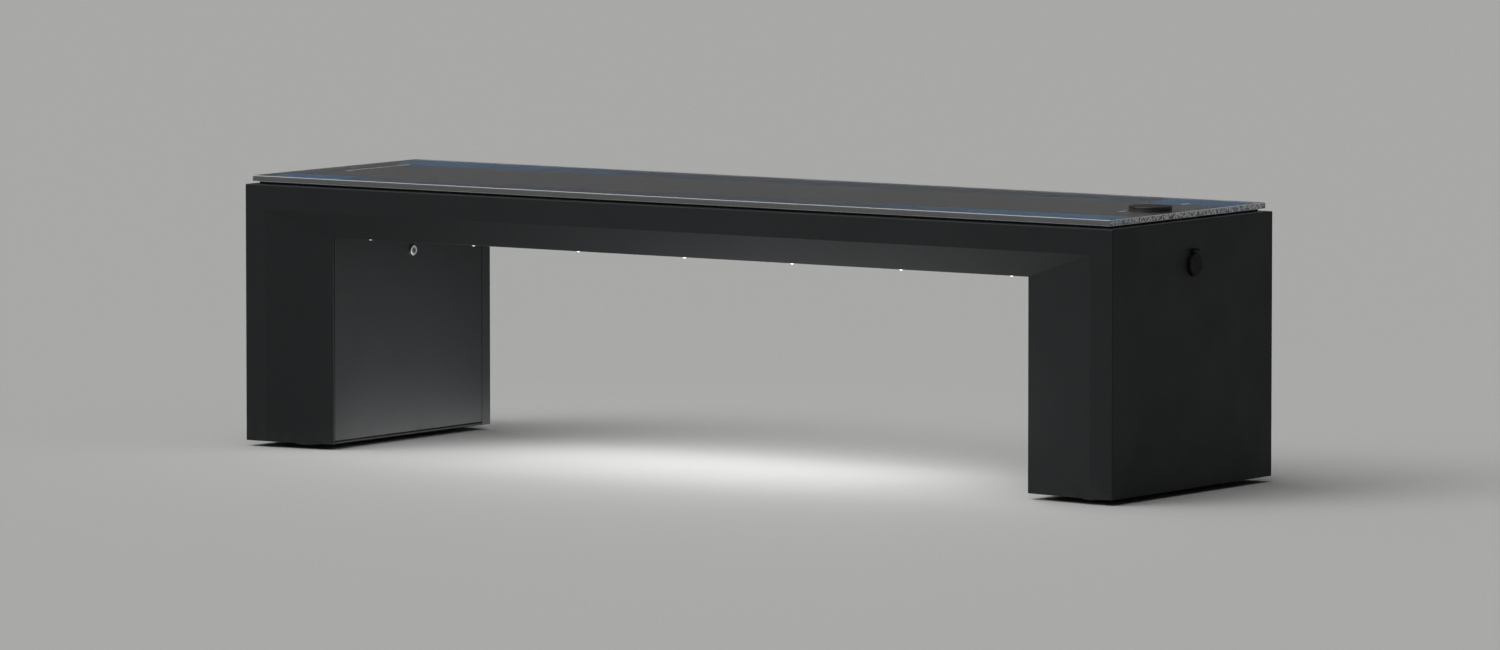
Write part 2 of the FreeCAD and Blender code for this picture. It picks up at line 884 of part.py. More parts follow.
def socket_housing():
    radius = socket_flange_diameter / 2
    wall_x = length / 2
    flange = rod_x(wall_x, socket_face_x, 0, socket_z, radius)
    ear_outer = cap_tongue_width / 2 + fit_clearance + ear_width
    ear_top = cap_hinge_z + cap_knuckle_radius
    tab = box(wall_x, socket_face_x, -ear_outer, ear_outer, socket_z + radius / 2, ear_top)
    barrel = rod_x(wall_x - socket_barrel_length, wall_x, 0, socket_z, socket_barrel_diameter / 2)
    shapes = [flange, tab, barrel]
    for side in (-1, 1):
        y0 = side * (cap_tongue_width / 2 + fit_clearance)
        y1 = side * ear_outer
        shapes.append(rod_y(cap_hinge_x, y0, y1, cap_hinge_z, cap_knuckle_radius))
        shapes.append(box(socket_face_x, cap_hinge_x, y0, y1, cap_hinge_z - cap_knuckle_radius, ear_top))
    body = joined(shapes)
    cavity_x = wall_x - socket_barrel_length + socket_back_wall
    body = body.cut(rod_x(cavity_x, socket_face_x + 1, 0, socket_z, socket_bore / 2))
    body = body.cut(rod_x(wall_x - socket_barrel_length - 1, cavity_x + 1, 0, socket_z,
                          signal_lead / 2 + slip_clearance))
    return body.cut(rod_y(cap_hinge_x, -ear_outer - 1, ear_outer + 1, cap_hinge_z,
                          cap_pin_radius + slip_clearance))


def socket_ring_nut():
    x1 = length / 2 - sheet
    x0 = x1 - socket_nut_height
    radius = socket_nut_diameter / 2
    nut = rod_x(x0, x1, 0, socket_z, radius)
    nut = nut.cut(rod_x(x0 - 1, x1 + 1, 0, socket_z, socket_barrel_diameter / 2 + slip_clearance))
    for i in range(socket_notch_count):
        turn = 2 * math.pi * i / socket_notch_count
        y = radius * math.cos(turn)
        z = socket_z + radius * math.sin(turn)
        nut = nut.cut(rod_x(x0 - 1, x1 - socket_notch_wall, y, z, socket_notch_diameter / 2))
    return nut


def usb_insert():
    cavity_x = length / 2 - socket_barrel_length + socket_back_wall
    face_x = socket_face_x - socket_recess
    core = rod_x(cavity_x, face_x, 0, socket_z, socket_bore / 2 - slip_clearance)
    for side in (-0.5, 0.5):
        z = socket_z + side * port_pitch
        port = box(face_x - port_depth, face_x + 1, -port_width / 2, port_width / 2,
                   z - port_height / 2, z + port_height / 2)
        tongue_z = z + port_height / 2 - tongue_drop
        tongue = box(face_x - port_depth - 1, face_x - tongue_setback, -tongue_width / 2, tongue_width / 2,
                     tongue_z - tongue_thickness, tongue_z)
        core = core.cut(port).fuse(tongue)
    return core.removeSplitter()


def socket_cap():
    back_x = socket_face_x + fit_clearance
    front_x = back_x + cap_thickness
    disc = rod_x(back_x, front_x, 0, socket_z, cap_diameter / 2)
    disc = disc.makeFillet(cap_edge, edges_at_x(disc, front_x))
    half = cap_tongue_width / 2
    tongue = box(back_x, front_x - cap_edge, -half, half, socket_z, cap_hinge_z)
    barrel = rod_y(cap_hinge_x, -half, half, cap_hinge_z, cap_knuckle_radius)
    seal_outer = socket_bore / 2 - cap_seal_gap
    seal = rod_x(back_x - cap_seal_depth, back_x, 0, socket_z, seal_outer)
    seal = seal.cut(rod_x(back_x - cap_seal_depth - 1, back_x, 0, socket_z, seal_outer - cap_seal_wall))
    lip_z = socket_z - cap_diameter / 2
    lip = box(front_x - cap_lip_thickness, front_x, -cap_lip_width / 2, cap_lip_width / 2,
              lip_z, lip_z + cap_lip_height)
    body = joined([disc, tongue, barrel, seal, lip])
    return body.cut(rod_y(cap_hinge_x, -half - 1, half + 1, cap_hinge_z, cap_pin_radius + slip_clearance))


def cap_pin():
    reach = cap_tongue_width / 2 + fit_clearance + ear_width
    return rod_y(cap_hinge_x, -reach, reach, cap_hinge_z, cap_pin_radius)


# Battery and electronics


def battery_tray():
    half = battery_width / 2 + tray_clearance
    y0 = battery_y - battery_length / 2
    y1 = battery_y + battery_length / 2
    floor = box(battery_x - half, battery_x + half, y0, y1, tray_z, tray_z + tray_sheet)
    shapes = [floor]
    for side in (-1, 1):
        x0 = battery_x + side * half
        x1 = x0 + side * tray_sheet
        shapes.append(box(x0, x1, y0, y1, base_top_z, battery_z + tray_lip))
    return joined(shapes)


def battery():
    case = box(
        battery_x - battery_width / 2,
        battery_x + battery_width / 2,
        battery_y - battery_length / 2,
        battery_y + battery_length / 2,
        battery_z,
        battery_top_z,
    )
    rims = upright_edges(case) + edges_at_z(case, battery_top_z)
    case = case.makeFillet(battery_edge, rims)
    shapes = [case]
    for x, y in post_places():
        shapes.append(rod_z(x, y, battery_top_z, battery_top_z + post_height, post_diameter / 2))
    return joined(shapes)


def post_places():
    y = battery_y + battery_length / 2 - post_inset
    return [(battery_x + side * post_spacing / 2, y) for side in (-1, 1)]


def battery_strap():
    y0 = battery_y - battery_length / 2 - slip_clearance
    y1 = battery_y + battery_length / 2 + slip_clearance
    z1 = battery_top_z + slip_clearance
    x0 = battery_x - strap_width / 2
    x1 = battery_x + strap_width / 2
    outer = box(x0, x1, y0 - strap_thickness, y1 + strap_thickness, tray_z, z1 + strap_thickness)
    inner = box(x0 - 1, x1 + 1, y0, y1, tray_z - 1, z1)
    return outer.cut(inner)


def equipment_plate():
    return box(plate_x - plate_sheet, plate_x, plate_front_y, plate_back_y, plate_z, plate_top_z)


def charge_controller():
    y0 = device_y - controller_width / 2
    y1 = device_y + controller_width / 2
    z1 = controller_z + controller_height
    case = box(plate_x, plate_x + controller_depth, y0, y1, controller_z, z1)
    pitch = (controller_width - fin_thickness) / (fin_count - 1)
    shapes = [case]
    for i in range(fin_count):
        y = y0 + i * pitch
        shapes.append(box(plate_x + controller_depth, plate_x + controller_depth + fin_height,
                          y, y + fin_thickness, controller_z + fin_start, z1))
    return joined(shapes)


def control_box():
    y0 = device_y - control_width / 2
    y1 = device_y + control_width / 2
    z1 = control_z + control_height
    case = box(plate_x, plate_x + control_depth, y0, y1, control_z, z1)
    lid = box(plate_x + control_depth - control_lid, plate_x + control_depth,
              y0 - control_lid_rim, y1 + control_lid_rim, control_z - control_lid_rim, z1 + control_lid_rim)
    return joined([case, lid])


def fuse_holder():
    half = fuse_width / 2
    return box(plate_x, plate_x + fuse_depth, device_y - half, device_y + half, fuse_z, fuse_z + fuse_height)


# Leads


def lead(points, diameter, bend):
    # straight runs joined by tangent arcs, swept with a round section
    corners = [FreeCAD.Vector(*p) for p in points]
    edges = []
    start = corners[0]
    for i in range(1, len(corners) - 1):
        before = corners[i - 1] - corners[i]
        after = corners[i + 1] - corners[i]
        before.normalize()
        after.normalize()
        turn = math.pi - before.getAngle(after)
        cut = bend * math.tan(turn / 2)
        arc_start = corners[i] + before * cut
        arc_end = corners[i] + after * cut
        across = before + after
        across.normalize()
        reach = bend / math.cos(turn / 2) - bend
        middle = corners[i] + across * reach
        edges.append(Part.LineSegment(start, arc_start).toShape())
        edges.append(Part.Arc(arc_start, middle, arc_end).toShape())
        start = arc_end
    edges.append(Part.LineSegment(start, corners[-1]).toShape())
    path = Part.Wire(edges)
    direction = corners[1] - corners[0]
    ring = Part.makeCircle(diameter / 2, corners[0], direction)
    tube = path.makePipeShell([Part.Wire(ring)], True, False)
    expected = math.pi * diameter ** 2 / 4 * path.Length
    if abs(tube.Volume / expected - 1) > 0.01:
        print("lead volume differs from its length times its section", tube.Volume, expected)
    print("lead", round(path.Length), "mm long, bends", bend, "mm")
    return tube


def solar_lead():
    # along the beam from the junction box, then down beside the control box to the controller
    x0 = junction_x - junction_length / 2
    x1 = plate_x + controller_depth / 2
    turn_x = -inner_x - solar_lead_turn
    side_y = device_y + controller_width / 2
    down_y = side_y + lead_bend + power_lead / 2
    end_z = controller_z + controller_height - solar_lead_entry
    points = [
        (x0, junction_y, gland_z),
        (turn_x, junction_y, gland_z),
        (turn_x - solar_lead_shift, down_y, gland_z),
        (x1, down_y, gland_z),
        (x1, down_y, end_z),
        (x1, side_y, end_z),
    ]
    return lead(points, power_lead, lead_bend)


def battery_leads():
    # from the posts over the battery's end, down beside it, into the controller's side
    leads = []
    down_y = battery_y + battery_length / 2 + strap_thickness + power_lead
    side_y = device_y - controller_width / 2
    for i, (x, y) in enumerate(post_places()):
        post_z = battery_top_z + post_height
        run_z = post_z + battery_lead_rise + i * battery_lead_pitch
        end_x = plate_x + power_lead + i * battery_lead_pitch
        end_z = controller_z + controller_height - battery_lead_entry - i * battery_lead_step
        points = [
            (x, y, post_z),
            (x, y, run_z),
            (end_x, down_y, run_z),
            (end_x, down_y, end_z),
            (end_x, side_y, end_z),
        ]
        leads.append(lead(points, power_lead, battery_lead_bend))
    return leads


def lead_row(i):
    # side-by-side places of the leads that run the length of the beam
    return rib_window_offset + (i - 0.5) * 2 * signal_lead


def device_leads():
    top = control_z + control_height
    x0 = plate_x + control_depth / 2
    socket_back = length / 2 - socket_barrel_length
    socket_y = lead_row(1)
    turn_x = inner_x + socket_lead_turn
    to_socket = [
        (x0, socket_y, top),
        (x0, socket_y, lead_z),
        (turn_x, socket_y, lead_z),
        (turn_x, 0, socket_z),
        (socket_back + socket_back_wall, 0, socket_z),
    ]
    charger_y = lead_row(0)
    dip_z = stem_bottom_z - charger_lead_dip
    to_charger = [
        (x0, charger_y, top),
        (x0, charger_y, lead_z),
        (inner_x - charger_lead_turn, charger_y, lead_z),
        (puck_x - charger_lead_reach, puck_y, dip_z),
        (puck_x, puck_y, dip_z),
        (puck_x, puck_y, stem_bottom_z + charger_lead_insert),
    ]
    return [lead(to_socket, signal_lead, lead_bend), lead(to_charger, signal_lead, lead_bend)]


def light_lead_run():
    x0 = plate_x + control_depth / 2
    start_y = device_y - control_width / 2 + light_lead_edge
    run_z = light_top_z + light_lead / 2 + fit_clearance
    points = [
        (x0, start_y, control_z + control_height),
        (x0, start_y, lead_z),
        (x0, light_y, lead_z),
        (-inner_x - light_lead_start, light_y, lead_z),
        (-inner_x - light_lead_end, light_y, run_z),
        (light_places()[-1], light_y, run_z),
    ]
    return lead(points, light_lead, lead_bend)


def lead_clips():
    clips = []
    y0 = lead_row(0) - signal_lead / 2 - clip_wall
    y1 = lead_row(1) + signal_lead / 2 + clip_wall
    z0 = lead_z - signal_lead / 2 - clip_wall
    for i in range(clip_count):
        x = (i - (clip_count - 1) / 2) * clip_spacing
        clip = box(x - clip_length / 2, x + clip_length / 2, y0, y1, z0, deck_z)
        for row in (0, 1):
            clip = clip.cut(rod_x(x - clip_length, x + clip_length, lead_row(row), lead_z,
                                  signal_lead / 2 + slip_clearance))
        clips.append(clip)
    return clips


# Levelling feet


def foot_place(end, side):
    return end * (length / 2 - foot_end_offset), side * (depth / 2 - foot_side_offset)


def foot(end, side):
    x, y = foot_place(end, side)
    pad = rod_z(x, y, 0, pad_height, pad_diameter / 2)
    pad = pad.makeChamfer(pad_edge, edges_at_z(pad, 0) + edges_at_z(pad, pad_height))
    stem_top = base_top_z + foot_nut_height + foot_stem_tail
    stem = rod_z(x, y, pad_height, stem_top, foot_thread / 2)
    return joined([pad, stem])


os.makedirs("parts", exist_ok=True)

save("front_beam_fascia", [beam_fascia(-1)])
save("back_beam_fascia", [beam_fascia(1)])
for end_name, end in (("left", -1), ("right", 1)):
    save("front_" + end_name + "_leg_fascia", [leg_fascia(end, -1)])
    save("back_" + end_name + "_leg_fascia", [leg_fascia(end, 1)])
    save(end_name + "_end_panel", [end_panel(end)])
    save(end_name + "_base_plate", [base_plate(end)])
save("top_deck", [top_deck()])
save("beam_underside", [beam_underside()])
save("right_leg_panel", [right_leg_panel()])
save("left_leg_frame", [left_leg_frame()])
save("beam_ribs", [beam_rib(x) for x in rib_places()])

save("glass_top", [glass_top()])
save("solar_backsheet", [solar_backsheet()])
save("front_cell_string", cell_string(-1))
save("back_cell_string", cell_string(1))
save("edge_tapes", edge_tapes())
save("support_strips", support_strips())
save("junction_box", [junction_box()])

save("charger_base", [charger_base()])
save("charger_coil", [charger_coil()])
save("charger_cover", [charger_cover()])
save("charger_nut", [charger_nut()])

save("light_housings", [light_housing(x) for x in light_places()])
save("light_lenses", [light_lens(x) for x in light_places()])

save("service_flap", [service_flap()])
save("flap_gaskets", flap_gaskets())
save("hinge_frame_leaf", [hinge_frame_leaf()])
save("hinge_flap_leaf", [hinge_flap_leaf()])
save("hinge_pin", [hinge_pin()])
save("lock_body", [lock_body()])
save("lock_nut", [lock_nut()])
save("lock_plug", [lock_plug()])
save("lock_cam", [lock_cam()])
save("lock_cam_screw", [cam_screw()])

save("socket_housing", [socket_housing()])
save("socket_ring_nut", [socket_ring_nut()])
save("usb_insert", [usb_insert()])
save("socket_cap", [socket_cap()])
save("socket_cap_pin", [cap_pin()])

save("battery_tray", [battery_tray()])
save("battery", [battery()])
save("battery_strap", [battery_strap()])
save("equipment_plate", [equipment_plate()])
save("charge_controller", [charge_controller()])
save("control_box", [control_box()])
save("fuse_holder", [fuse_holder()])

save("solar_lead", [solar_lead()])
save("battery_leads", battery_leads())
save("device_leads", device_leads())
save("light_lead", [light_lead_run()])
save("lead_clips", lead_clips())

for end_name, end in (("left", -1), ("right", 1)):
    for side_name, side in (("front", -1), ("back", 1)):
        save("foot_" + end_name + "_" + side_name, [foot(end, side)])
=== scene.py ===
import json
import math

import bmesh
import bpy
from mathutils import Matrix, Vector


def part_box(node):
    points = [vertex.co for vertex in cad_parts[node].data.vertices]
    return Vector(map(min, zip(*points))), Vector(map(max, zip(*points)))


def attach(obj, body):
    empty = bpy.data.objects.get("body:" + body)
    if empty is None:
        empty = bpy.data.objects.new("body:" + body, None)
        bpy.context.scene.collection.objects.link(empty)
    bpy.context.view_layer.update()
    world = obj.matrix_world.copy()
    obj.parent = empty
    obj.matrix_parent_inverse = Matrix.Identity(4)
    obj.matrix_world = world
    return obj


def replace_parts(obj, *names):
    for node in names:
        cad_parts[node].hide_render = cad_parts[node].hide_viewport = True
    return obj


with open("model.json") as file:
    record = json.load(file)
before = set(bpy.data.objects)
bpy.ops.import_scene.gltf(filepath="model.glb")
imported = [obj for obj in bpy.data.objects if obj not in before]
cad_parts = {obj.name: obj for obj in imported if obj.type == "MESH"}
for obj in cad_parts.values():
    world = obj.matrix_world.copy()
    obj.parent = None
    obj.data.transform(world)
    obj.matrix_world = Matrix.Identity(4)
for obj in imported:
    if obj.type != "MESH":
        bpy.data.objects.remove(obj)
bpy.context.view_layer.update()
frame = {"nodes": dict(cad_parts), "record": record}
parts = frame["nodes"]
print("bench loaded:", len(parts), "parts")

# camera
camera = {
    "aim": (-0.001, 0.0, 0.2383),
    "azimuth": 34.852,
    "elevation": 4.981,
    "distance": 18.7235,
    "lens": 261.97,
    "sensor": 36,
    "farClip": 200,
}


def placeCamera(look):
    turn = math.radians(look["azimuth"])
    lift = math.radians(look["elevation"])
    level = math.cos(lift)
    back = Vector((math.sin(turn) * level, -math.cos(turn) * level, math.sin(lift)))
    data = bpy.data.cameras.new("benchCamera")
    data.lens = look["lens"]
    data.sensor_width = look["sensor"]
    data.clip_end = look["farClip"]
    obj = bpy.data.objects.new("benchCamera", data)
    obj.location = Vector(look["aim"]) + back * look["distance"]
    obj.rotation_euler = (-back).to_track_quat("-Z", "Y").to_euler()
    bpy.context.collection.objects.link(obj)
    bpy.context.scene.camera = obj


placeCamera(camera)
print("camera placed")


# node helpers
def newLook(name, color, roughness, metallic=0.0):
    mat = bpy.data.materials.new(name)
    mat.use_nodes = True
    shader = mat.node_tree.nodes["Principled BSDF"]
    shader.inputs["Base Color"].default_value = (*color, 1)
    shader.inputs["Roughness"].default_value = roughness
    shader.inputs["Metallic"].default_value = metallic
    return mat, shader


def add(mat, kind, settings=None, **values):
    # an input goes by its name, or by its number as _0, _1
    node = mat.node_tree.nodes.new(kind)
    for key, value in (settings or {}).items():
        setattr(node, key, value)
    for key, value in values.items():
        number = key[1:]
        socket = node.inputs[int(number) if number.isdigit() else key.replace("_", " ")]
        if isinstance(value, bpy.types.NodeSocket):
            mat.node_tree.links.new(value, socket)
        else:
            socket.default_value = value
    return node


def join(mat, source, target):
    mat.node_tree.links.new(source, target)


def place(mat, stretch=(1, 1, 1)):
    # object coordinates are metres on every part
    coords = add(mat, "ShaderNodeTexCoord").outputs["Object"]
    if stretch == (1, 1, 1):
        return coords
    return add(mat, "ShaderNodeMapping", Vector=coords, Scale=stretch).outputs["Vector"]


def noise(mat, where, size, detail=2.0, roughness=0.5):
    made = add(mat, "ShaderNodeTexNoise", Vector=where, Scale=1 / size, Detail=detail,
               Roughness=roughness)
    return made.outputs["Fac"]


def spread(mat, value, low, high, start=0.35, end=0.65):
    # the value from start to end becomes low to high, and most noise is from 0.35 to 0.65
    made = add(mat, "ShaderNodeMapRange", Value=value, From_Min=start, From_Max=end,
               To_Min=low, To_Max=high)
    return made.outputs["Result"]


def patches(mat, where, size, settings=None):
    # flakes or patches that each have a tone of their own, from 0 to 1
    made = add(mat, "ShaderNodeTexVoronoi", settings, Vector=where, Scale=1 / size)
    return add(mat, "ShaderNodeSeparateColor", Color=made.outputs["Color"]).outputs[0]


def blendColor(mat, factor, first, second):
    # a Mix node keeps its two colours in inputs 6 and 7 and their blend in output 2
    made = add(mat, "ShaderNodeMix", {"data_type": "RGBA"})
    for number, value in ((0, factor), (6, first), (7, second)):
        if isinstance(value, bpy.types.NodeSocket):
            join(mat, value, made.inputs[number])
        elif isinstance(value, tuple):
            made.inputs[number].default_value = (*value, 1)
        else:
            made.inputs[number].default_value = value
    return made.outputs[2]


def sums(mat, operation, first, second=0.0):
    return add(mat, "ShaderNodeMath", {"operation": operation}, _0=first, _1=second).outputs[0]


def lines(mat, value, pitch, width, offset=0.0):
    # 1 on evenly spaced lines, 0 between them
    turns = sums(mat, "DIVIDE", sums(mat, "SUBTRACT", value, offset), pitch)
    nearest = sums(mat, "ABSOLUTE", sums(mat, "SUBTRACT", turns, sums(mat, "ROUND", turns)))
    return sums(mat, "LESS_THAN", nearest, width / 2 / pitch)


def bumps(mat, shader, *layers):
    normal = None
    for height, depth in layers:
        made = add(mat, "ShaderNodeBump", Height=height, Distance=depth, Strength=1.0)
        if normal:
            join(mat, normal, made.inputs["Normal"])
        normal = made.outputs["Normal"]
    join(mat, normal, shader.inputs["Normal"])


def darker(color, share):
    return tuple(c * share for c in color)


# powder coated steel
powderCoat = {
    "color": (0.0136, 0.0158, 0.0166),
    "fadedColor": (0.0154, 0.0176, 0.0184),
    "fadeSize": 0.30,
    "dustColor": (0.040, 0.040, 0.038),
    "dustHeight": 0.05,
    "dustSize": 0.03,
    "dustShare": 0.35,
    "speckFrom": (0.62, 0.75),
    "speckShare": 0.4,
    "roughness": (0.42, 0.50),
    "roughSize": 0.09,
    "gloss": 0.17,
    "peelSize": 0.0016,
    "peelDepth": 0.000012,
    "grainSize": 0.00035,
    "grainDepth": 0.000004,
}


def powderCoatLook(look):
    mat, shader = newLook("powderCoatAnthracite", look["color"], 0.5)
    here = place(mat)
    broad = noise(mat, here, look["fadeSize"], 3)
    faded = blendColor(mat, spread(mat, broad, 0, 1), look["color"], look["fadedColor"])
    # dust from the ground up, and a few pale specks in the grain
    height = add(mat, "ShaderNodeSeparateXYZ", Vector=here).outputs["Z"]
    low = spread(mat, height, 0.0, look["dustShare"], look["dustHeight"], 0.0)
    cloudy = spread(mat, noise(mat, here, look["dustSize"], 4), 0.1, 1)
    dusty = blendColor(mat, sums(mat, "MULTIPLY", low, cloudy), faded, look["dustColor"])
    grain = noise(mat, here, look["grainSize"], 1)
    specks = spread(mat, grain, 0, 0.5, *look["speckFrom"])
    specks = sums(mat, "MULTIPLY", specks, look["speckShare"])
    join(mat, blendColor(mat, specks, dusty, look["dustColor"]), shader.inputs["Base Color"])
    rough = spread(mat, noise(mat, here, look["roughSize"], 4), *look["roughness"])
    join(mat, rough, shader.inputs["Roughness"])
    peel = noise(mat, here, look["peelSize"], 1)
    bumps(mat, shader, (peel, look["peelDepth"]), (grain, look["grainDepth"]))
    shader.inputs["Specular IOR Level"].default_value = look["gloss"]
    return mat


# metals
metals = {
    "zinc_steel": {"color": (0.42, 0.43, 0.44), "roughness": (0.30, 0.48), "patch": 0.012},
    "stainless": {"color": (0.55, 0.55, 0.54), "roughness": (0.18, 0.30), "patch": 0.004,
                  "stretch": (1, 0.05, 1)},
    "light_alloy": {"color": (0.50, 0.50, 0.50), "roughness": (0.28, 0.40), "patch": 0.002,
                    "stretch": (1, 1, 0.2)},
    "lock_chrome": {"color": (0.72, 0.72, 0.73), "roughness": (0.06, 0.16), "patch": 0.006},
    "lock_core_metal": {"color": (0.20, 0.20, 0.20), "roughness": (0.25, 0.42), "patch": 0.003},
    "controller_alloy": {"color": (0.11, 0.12, 0.13), "roughness": (0.38, 0.52), "patch": 0.003,
                         "stretch": (1, 1, 0.1)},
    "foot_steel": {"color": (0.36, 0.36, 0.36), "roughness": (0.32, 0.50), "patch": 0.008},
    "hinge_zinc": {"color": (0.022, 0.023, 0.025), "roughness": (0.38, 0.52), "patch": 0.008},
}
metalGrain = {"shade": 0.82, "depth": 0.000004}


def metalLook(name, look):
    mat, shader = newLook(name + "Metal", look["color"], 0.4, 1.0)
    here = place(mat, look.get("stretch", (1, 1, 1)))
    tone = patches(mat, here, look["patch"])
    shade = blendColor(mat, tone, darker(look["color"], metalGrain["shade"]), look["color"])
    join(mat, shade, shader.inputs["Base Color"])
    rough = spread(mat, noise(mat, here, look["patch"] * 2, 4), *look["roughness"])
    join(mat, rough, shader.inputs["Roughness"])
    bumps(mat, shader, (noise(mat, here, look["patch"] / 8, 3), metalGrain["depth"]))
    return mat


# plastics and rubbers
plastics = {
    # sealing rubber: black, and darkened further to near black as painted shade for the shadow in
    # the gap under the glass edge
    "sealing_rubber": {"color": (0.003, 0.003, 0.003), "roughness": (0.70, 0.85),
                       "grain": 0.0009, "depth": 0.00002, "gloss": 0.10},
    "black_plastic": {"color": (0.012, 0.012, 0.013), "roughness": (0.40, 0.52),
                      "grain": 0.0007, "depth": 0.00002},
    "charger_rubber": {"color": (0.008, 0.008, 0.008), "roughness": (0.26, 0.34),
                       "grain": 0.0005, "depth": 0.000004},
    "socket_plastic": {"color": (0.0025, 0.0025, 0.0025), "roughness": (0.50, 0.62),
                       "grain": 0.0006, "depth": 0.00001, "gloss": 0.18},
    "port_plastic": {"color": (0.030, 0.031, 0.033), "roughness": (0.36, 0.48),
                     "grain": 0.0006, "depth": 0.00001},
    "battery_case": {"color": (0.022, 0.024, 0.030), "roughness": (0.34, 0.50),
                     "grain": 0.0010, "depth": 0.00004},
    "box_grey": {"color": (0.34, 0.35, 0.35), "roughness": (0.40, 0.52),
                 "grain": 0.0008, "depth": 0.00003},
    "lead_sheath": {"color": (0.010, 0.010, 0.011), "roughness": (0.38, 0.50),
                    "grain": 0.0012, "depth": 0.00002},
    "battery_sheath": {"color": (0.22, 0.012, 0.010), "roughness": (0.38, 0.50),
                       "grain": 0.0012, "depth": 0.00002},
}
moulding = {"paler": 1.35, "lift": 0.001, "toneSize": 0.02, "roughSize": 0.008, "gloss": 0.5}


def plasticLook(name, look):
    mat, shader = newLook(name + "Moulded", look["color"], 0.5)
    here = place(mat)
    paler = tuple(c * moulding["paler"] + moulding["lift"] for c in look["color"])
    tone = spread(mat, noise(mat, here, moulding["toneSize"], 4), 0, 1)
    join(mat, blendColor(mat, tone, look["color"], paler), shader.inputs["Base Color"])
    rough = spread(mat, noise(mat, here, moulding["roughSize"], 3), *look["roughness"])
    join(mat, rough, shader.inputs["Roughness"])
    pits = add(mat, "ShaderNodeTexVoronoi", {"feature": "SMOOTH_F1"}, Vector=here,
               Scale=1 / look["grain"])
    bumps(mat, shader, (pits.outputs["Distance"], look["depth"]))
    shader.inputs["Specular IOR Level"].default_value = look.get("gloss", moulding["gloss"])
    return mat


# copper winding of the charging coil
coil = {
    "color": (0.52, 0.20, 0.08),
    "shadedGapColor": (0.10, 0.035, 0.012),
    "wire": 0.0009,
    "shadedGapShare": 0.25,
    "depth": 0.0002,
    "roughness": (0.22, 0.38),
    "roughSize": 0.004,
}


def coilLook(look):
    mat, shader = newLook("copperWinding", look["color"], 0.3, 1.0)
    low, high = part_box("charger_coil")
    here = add(mat, "ShaderNodeVectorMath", {"operation": "SUBTRACT"}, _0=place(mat),
               _1=tuple((low + high) / 2)).outputs[0]
    away = add(mat, "ShaderNodeVectorMath", {"operation": "LENGTH"}, _0=here).outputs["Value"]
    # painted shade: the grooves between the turns are darkened
    shadedGaps = lines(mat, away, look["wire"], look["wire"] * look["shadedGapShare"])
    join(mat, blendColor(mat, shadedGaps, look["color"], look["shadedGapColor"]), shader.inputs["Base Color"])
    turns = sums(mat, "MULTIPLY", away, math.pi / look["wire"])
    wave = sums(mat, "ABSOLUTE", sums(mat, "SINE", turns))
    rough = spread(mat, noise(mat, here, look["roughSize"], 3), *look["roughness"])
    join(mat, rough, shader.inputs["Roughness"])
    bumps(mat, shader, (wave, look["depth"]))
    return mat


# woven battery strap
strap = {
    "color": (0.020, 0.020, 0.021),
    "paleColor": (0.040, 0.040, 0.041),
    "thread": 0.0014,
    "depth": 0.0003,
    "roughness": (0.70, 0.90),
    "sheen": 0.3,
}


def strapLook(look):
    mat, shader = newLook("wovenWebbing", look["color"], 0.8)
    axes = add(mat, "ShaderNodeSeparateXYZ", Vector=place(mat))
    perMetre = math.pi / look["thread"]
    across = sums(mat, "SINE", sums(mat, "MULTIPLY", axes.outputs["X"], perMetre))
    length = sums(mat, "ADD", axes.outputs["Y"], axes.outputs["Z"])
    along = sums(mat, "SINE", sums(mat, "MULTIPLY", length, perMetre))
    weave = sums(mat, "ABSOLUTE", sums(mat, "MULTIPLY", across, along))
    join(mat, blendColor(mat, weave, look["color"], look["paleColor"]), shader.inputs["Base Color"])
    join(mat, spread(mat, weave, *look["roughness"], 0, 1), shader.inputs["Roughness"])
    bumps(mat, shader, (weave, look["depth"]))
    shader.inputs["Sheen Weight"].default_value = look["sheen"]
    return mat


# solar cells and the film behind them
cells = {
    "darkBlue": (0.012, 0.022, 0.040),
    # the pale blue below is a painted reflection on the end cells
    "reflectedBlue": (0.006, 0.105, 0.235),
    "silver": (0.40, 0.41, 0.41),
    "flakes": (0.017, 0.0055),
    "smallShare": 0.45,
    "flakeTone": 0.45,
    "flakeFrom": (0.15, 0.85),
    "roughness": (0.26, 0.40),
    "pitch": 0.1585,
    "reflectionFrom": (0.25, 0.79),
    "farEndReflection": (0.60, 0.79),
    "fingerPitch": 0.0019,
    "fingerWidth": 0.00007,
    "ribbons": 3,
    "ribbonWidth": 0.0009,
    "silverDepth": 0.00002,
}


def ribbonLines(mat, axes, look):
    # flat conductors run along each string, the same distance from the middle front and back
    low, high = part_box("back_cell_string")
    pitch = (high.y - low.y) / look["ribbons"]
    across = sums(mat, "ABSOLUTE", axes.outputs["Y"])
    ribbons = lines(mat, across, pitch, look["ribbonWidth"], low.y + pitch / 2)
    inside = sums(mat, "GREATER_THAN", across, low.y)
    return sums(mat, "MULTIPLY", ribbons, inside)


def paintedReflectionTones(mat, axes, look):
    # painted reflection: a pale blue sheen is painted on the cells by where they lie, strongest at
    # the right end of the front string and the left end of the back string, on one more cell at
    # each other end, and none on the dark middle cells
    side = sums(mat, "SIGN", axes.outputs["Y"])
    along = sums(mat, "MULTIPLY", axes.outputs["X"], sums(mat, "MULTIPLY", side, -1.0))
    count = sums(mat, "ROUND", sums(mat, "DIVIDE", along, look["pitch"]))
    cell = sums(mat, "MULTIPLY", count, look["pitch"])
    risingReflection = spread(mat, cell, 0.0, 1, *look["reflectionFrom"])
    farEndReflection = spread(mat, sums(mat, "MULTIPLY", cell, -1.0), 0.0, 1, *look["farEndReflection"])
    return sums(mat, "MAXIMUM", risingReflection, farEndReflection)


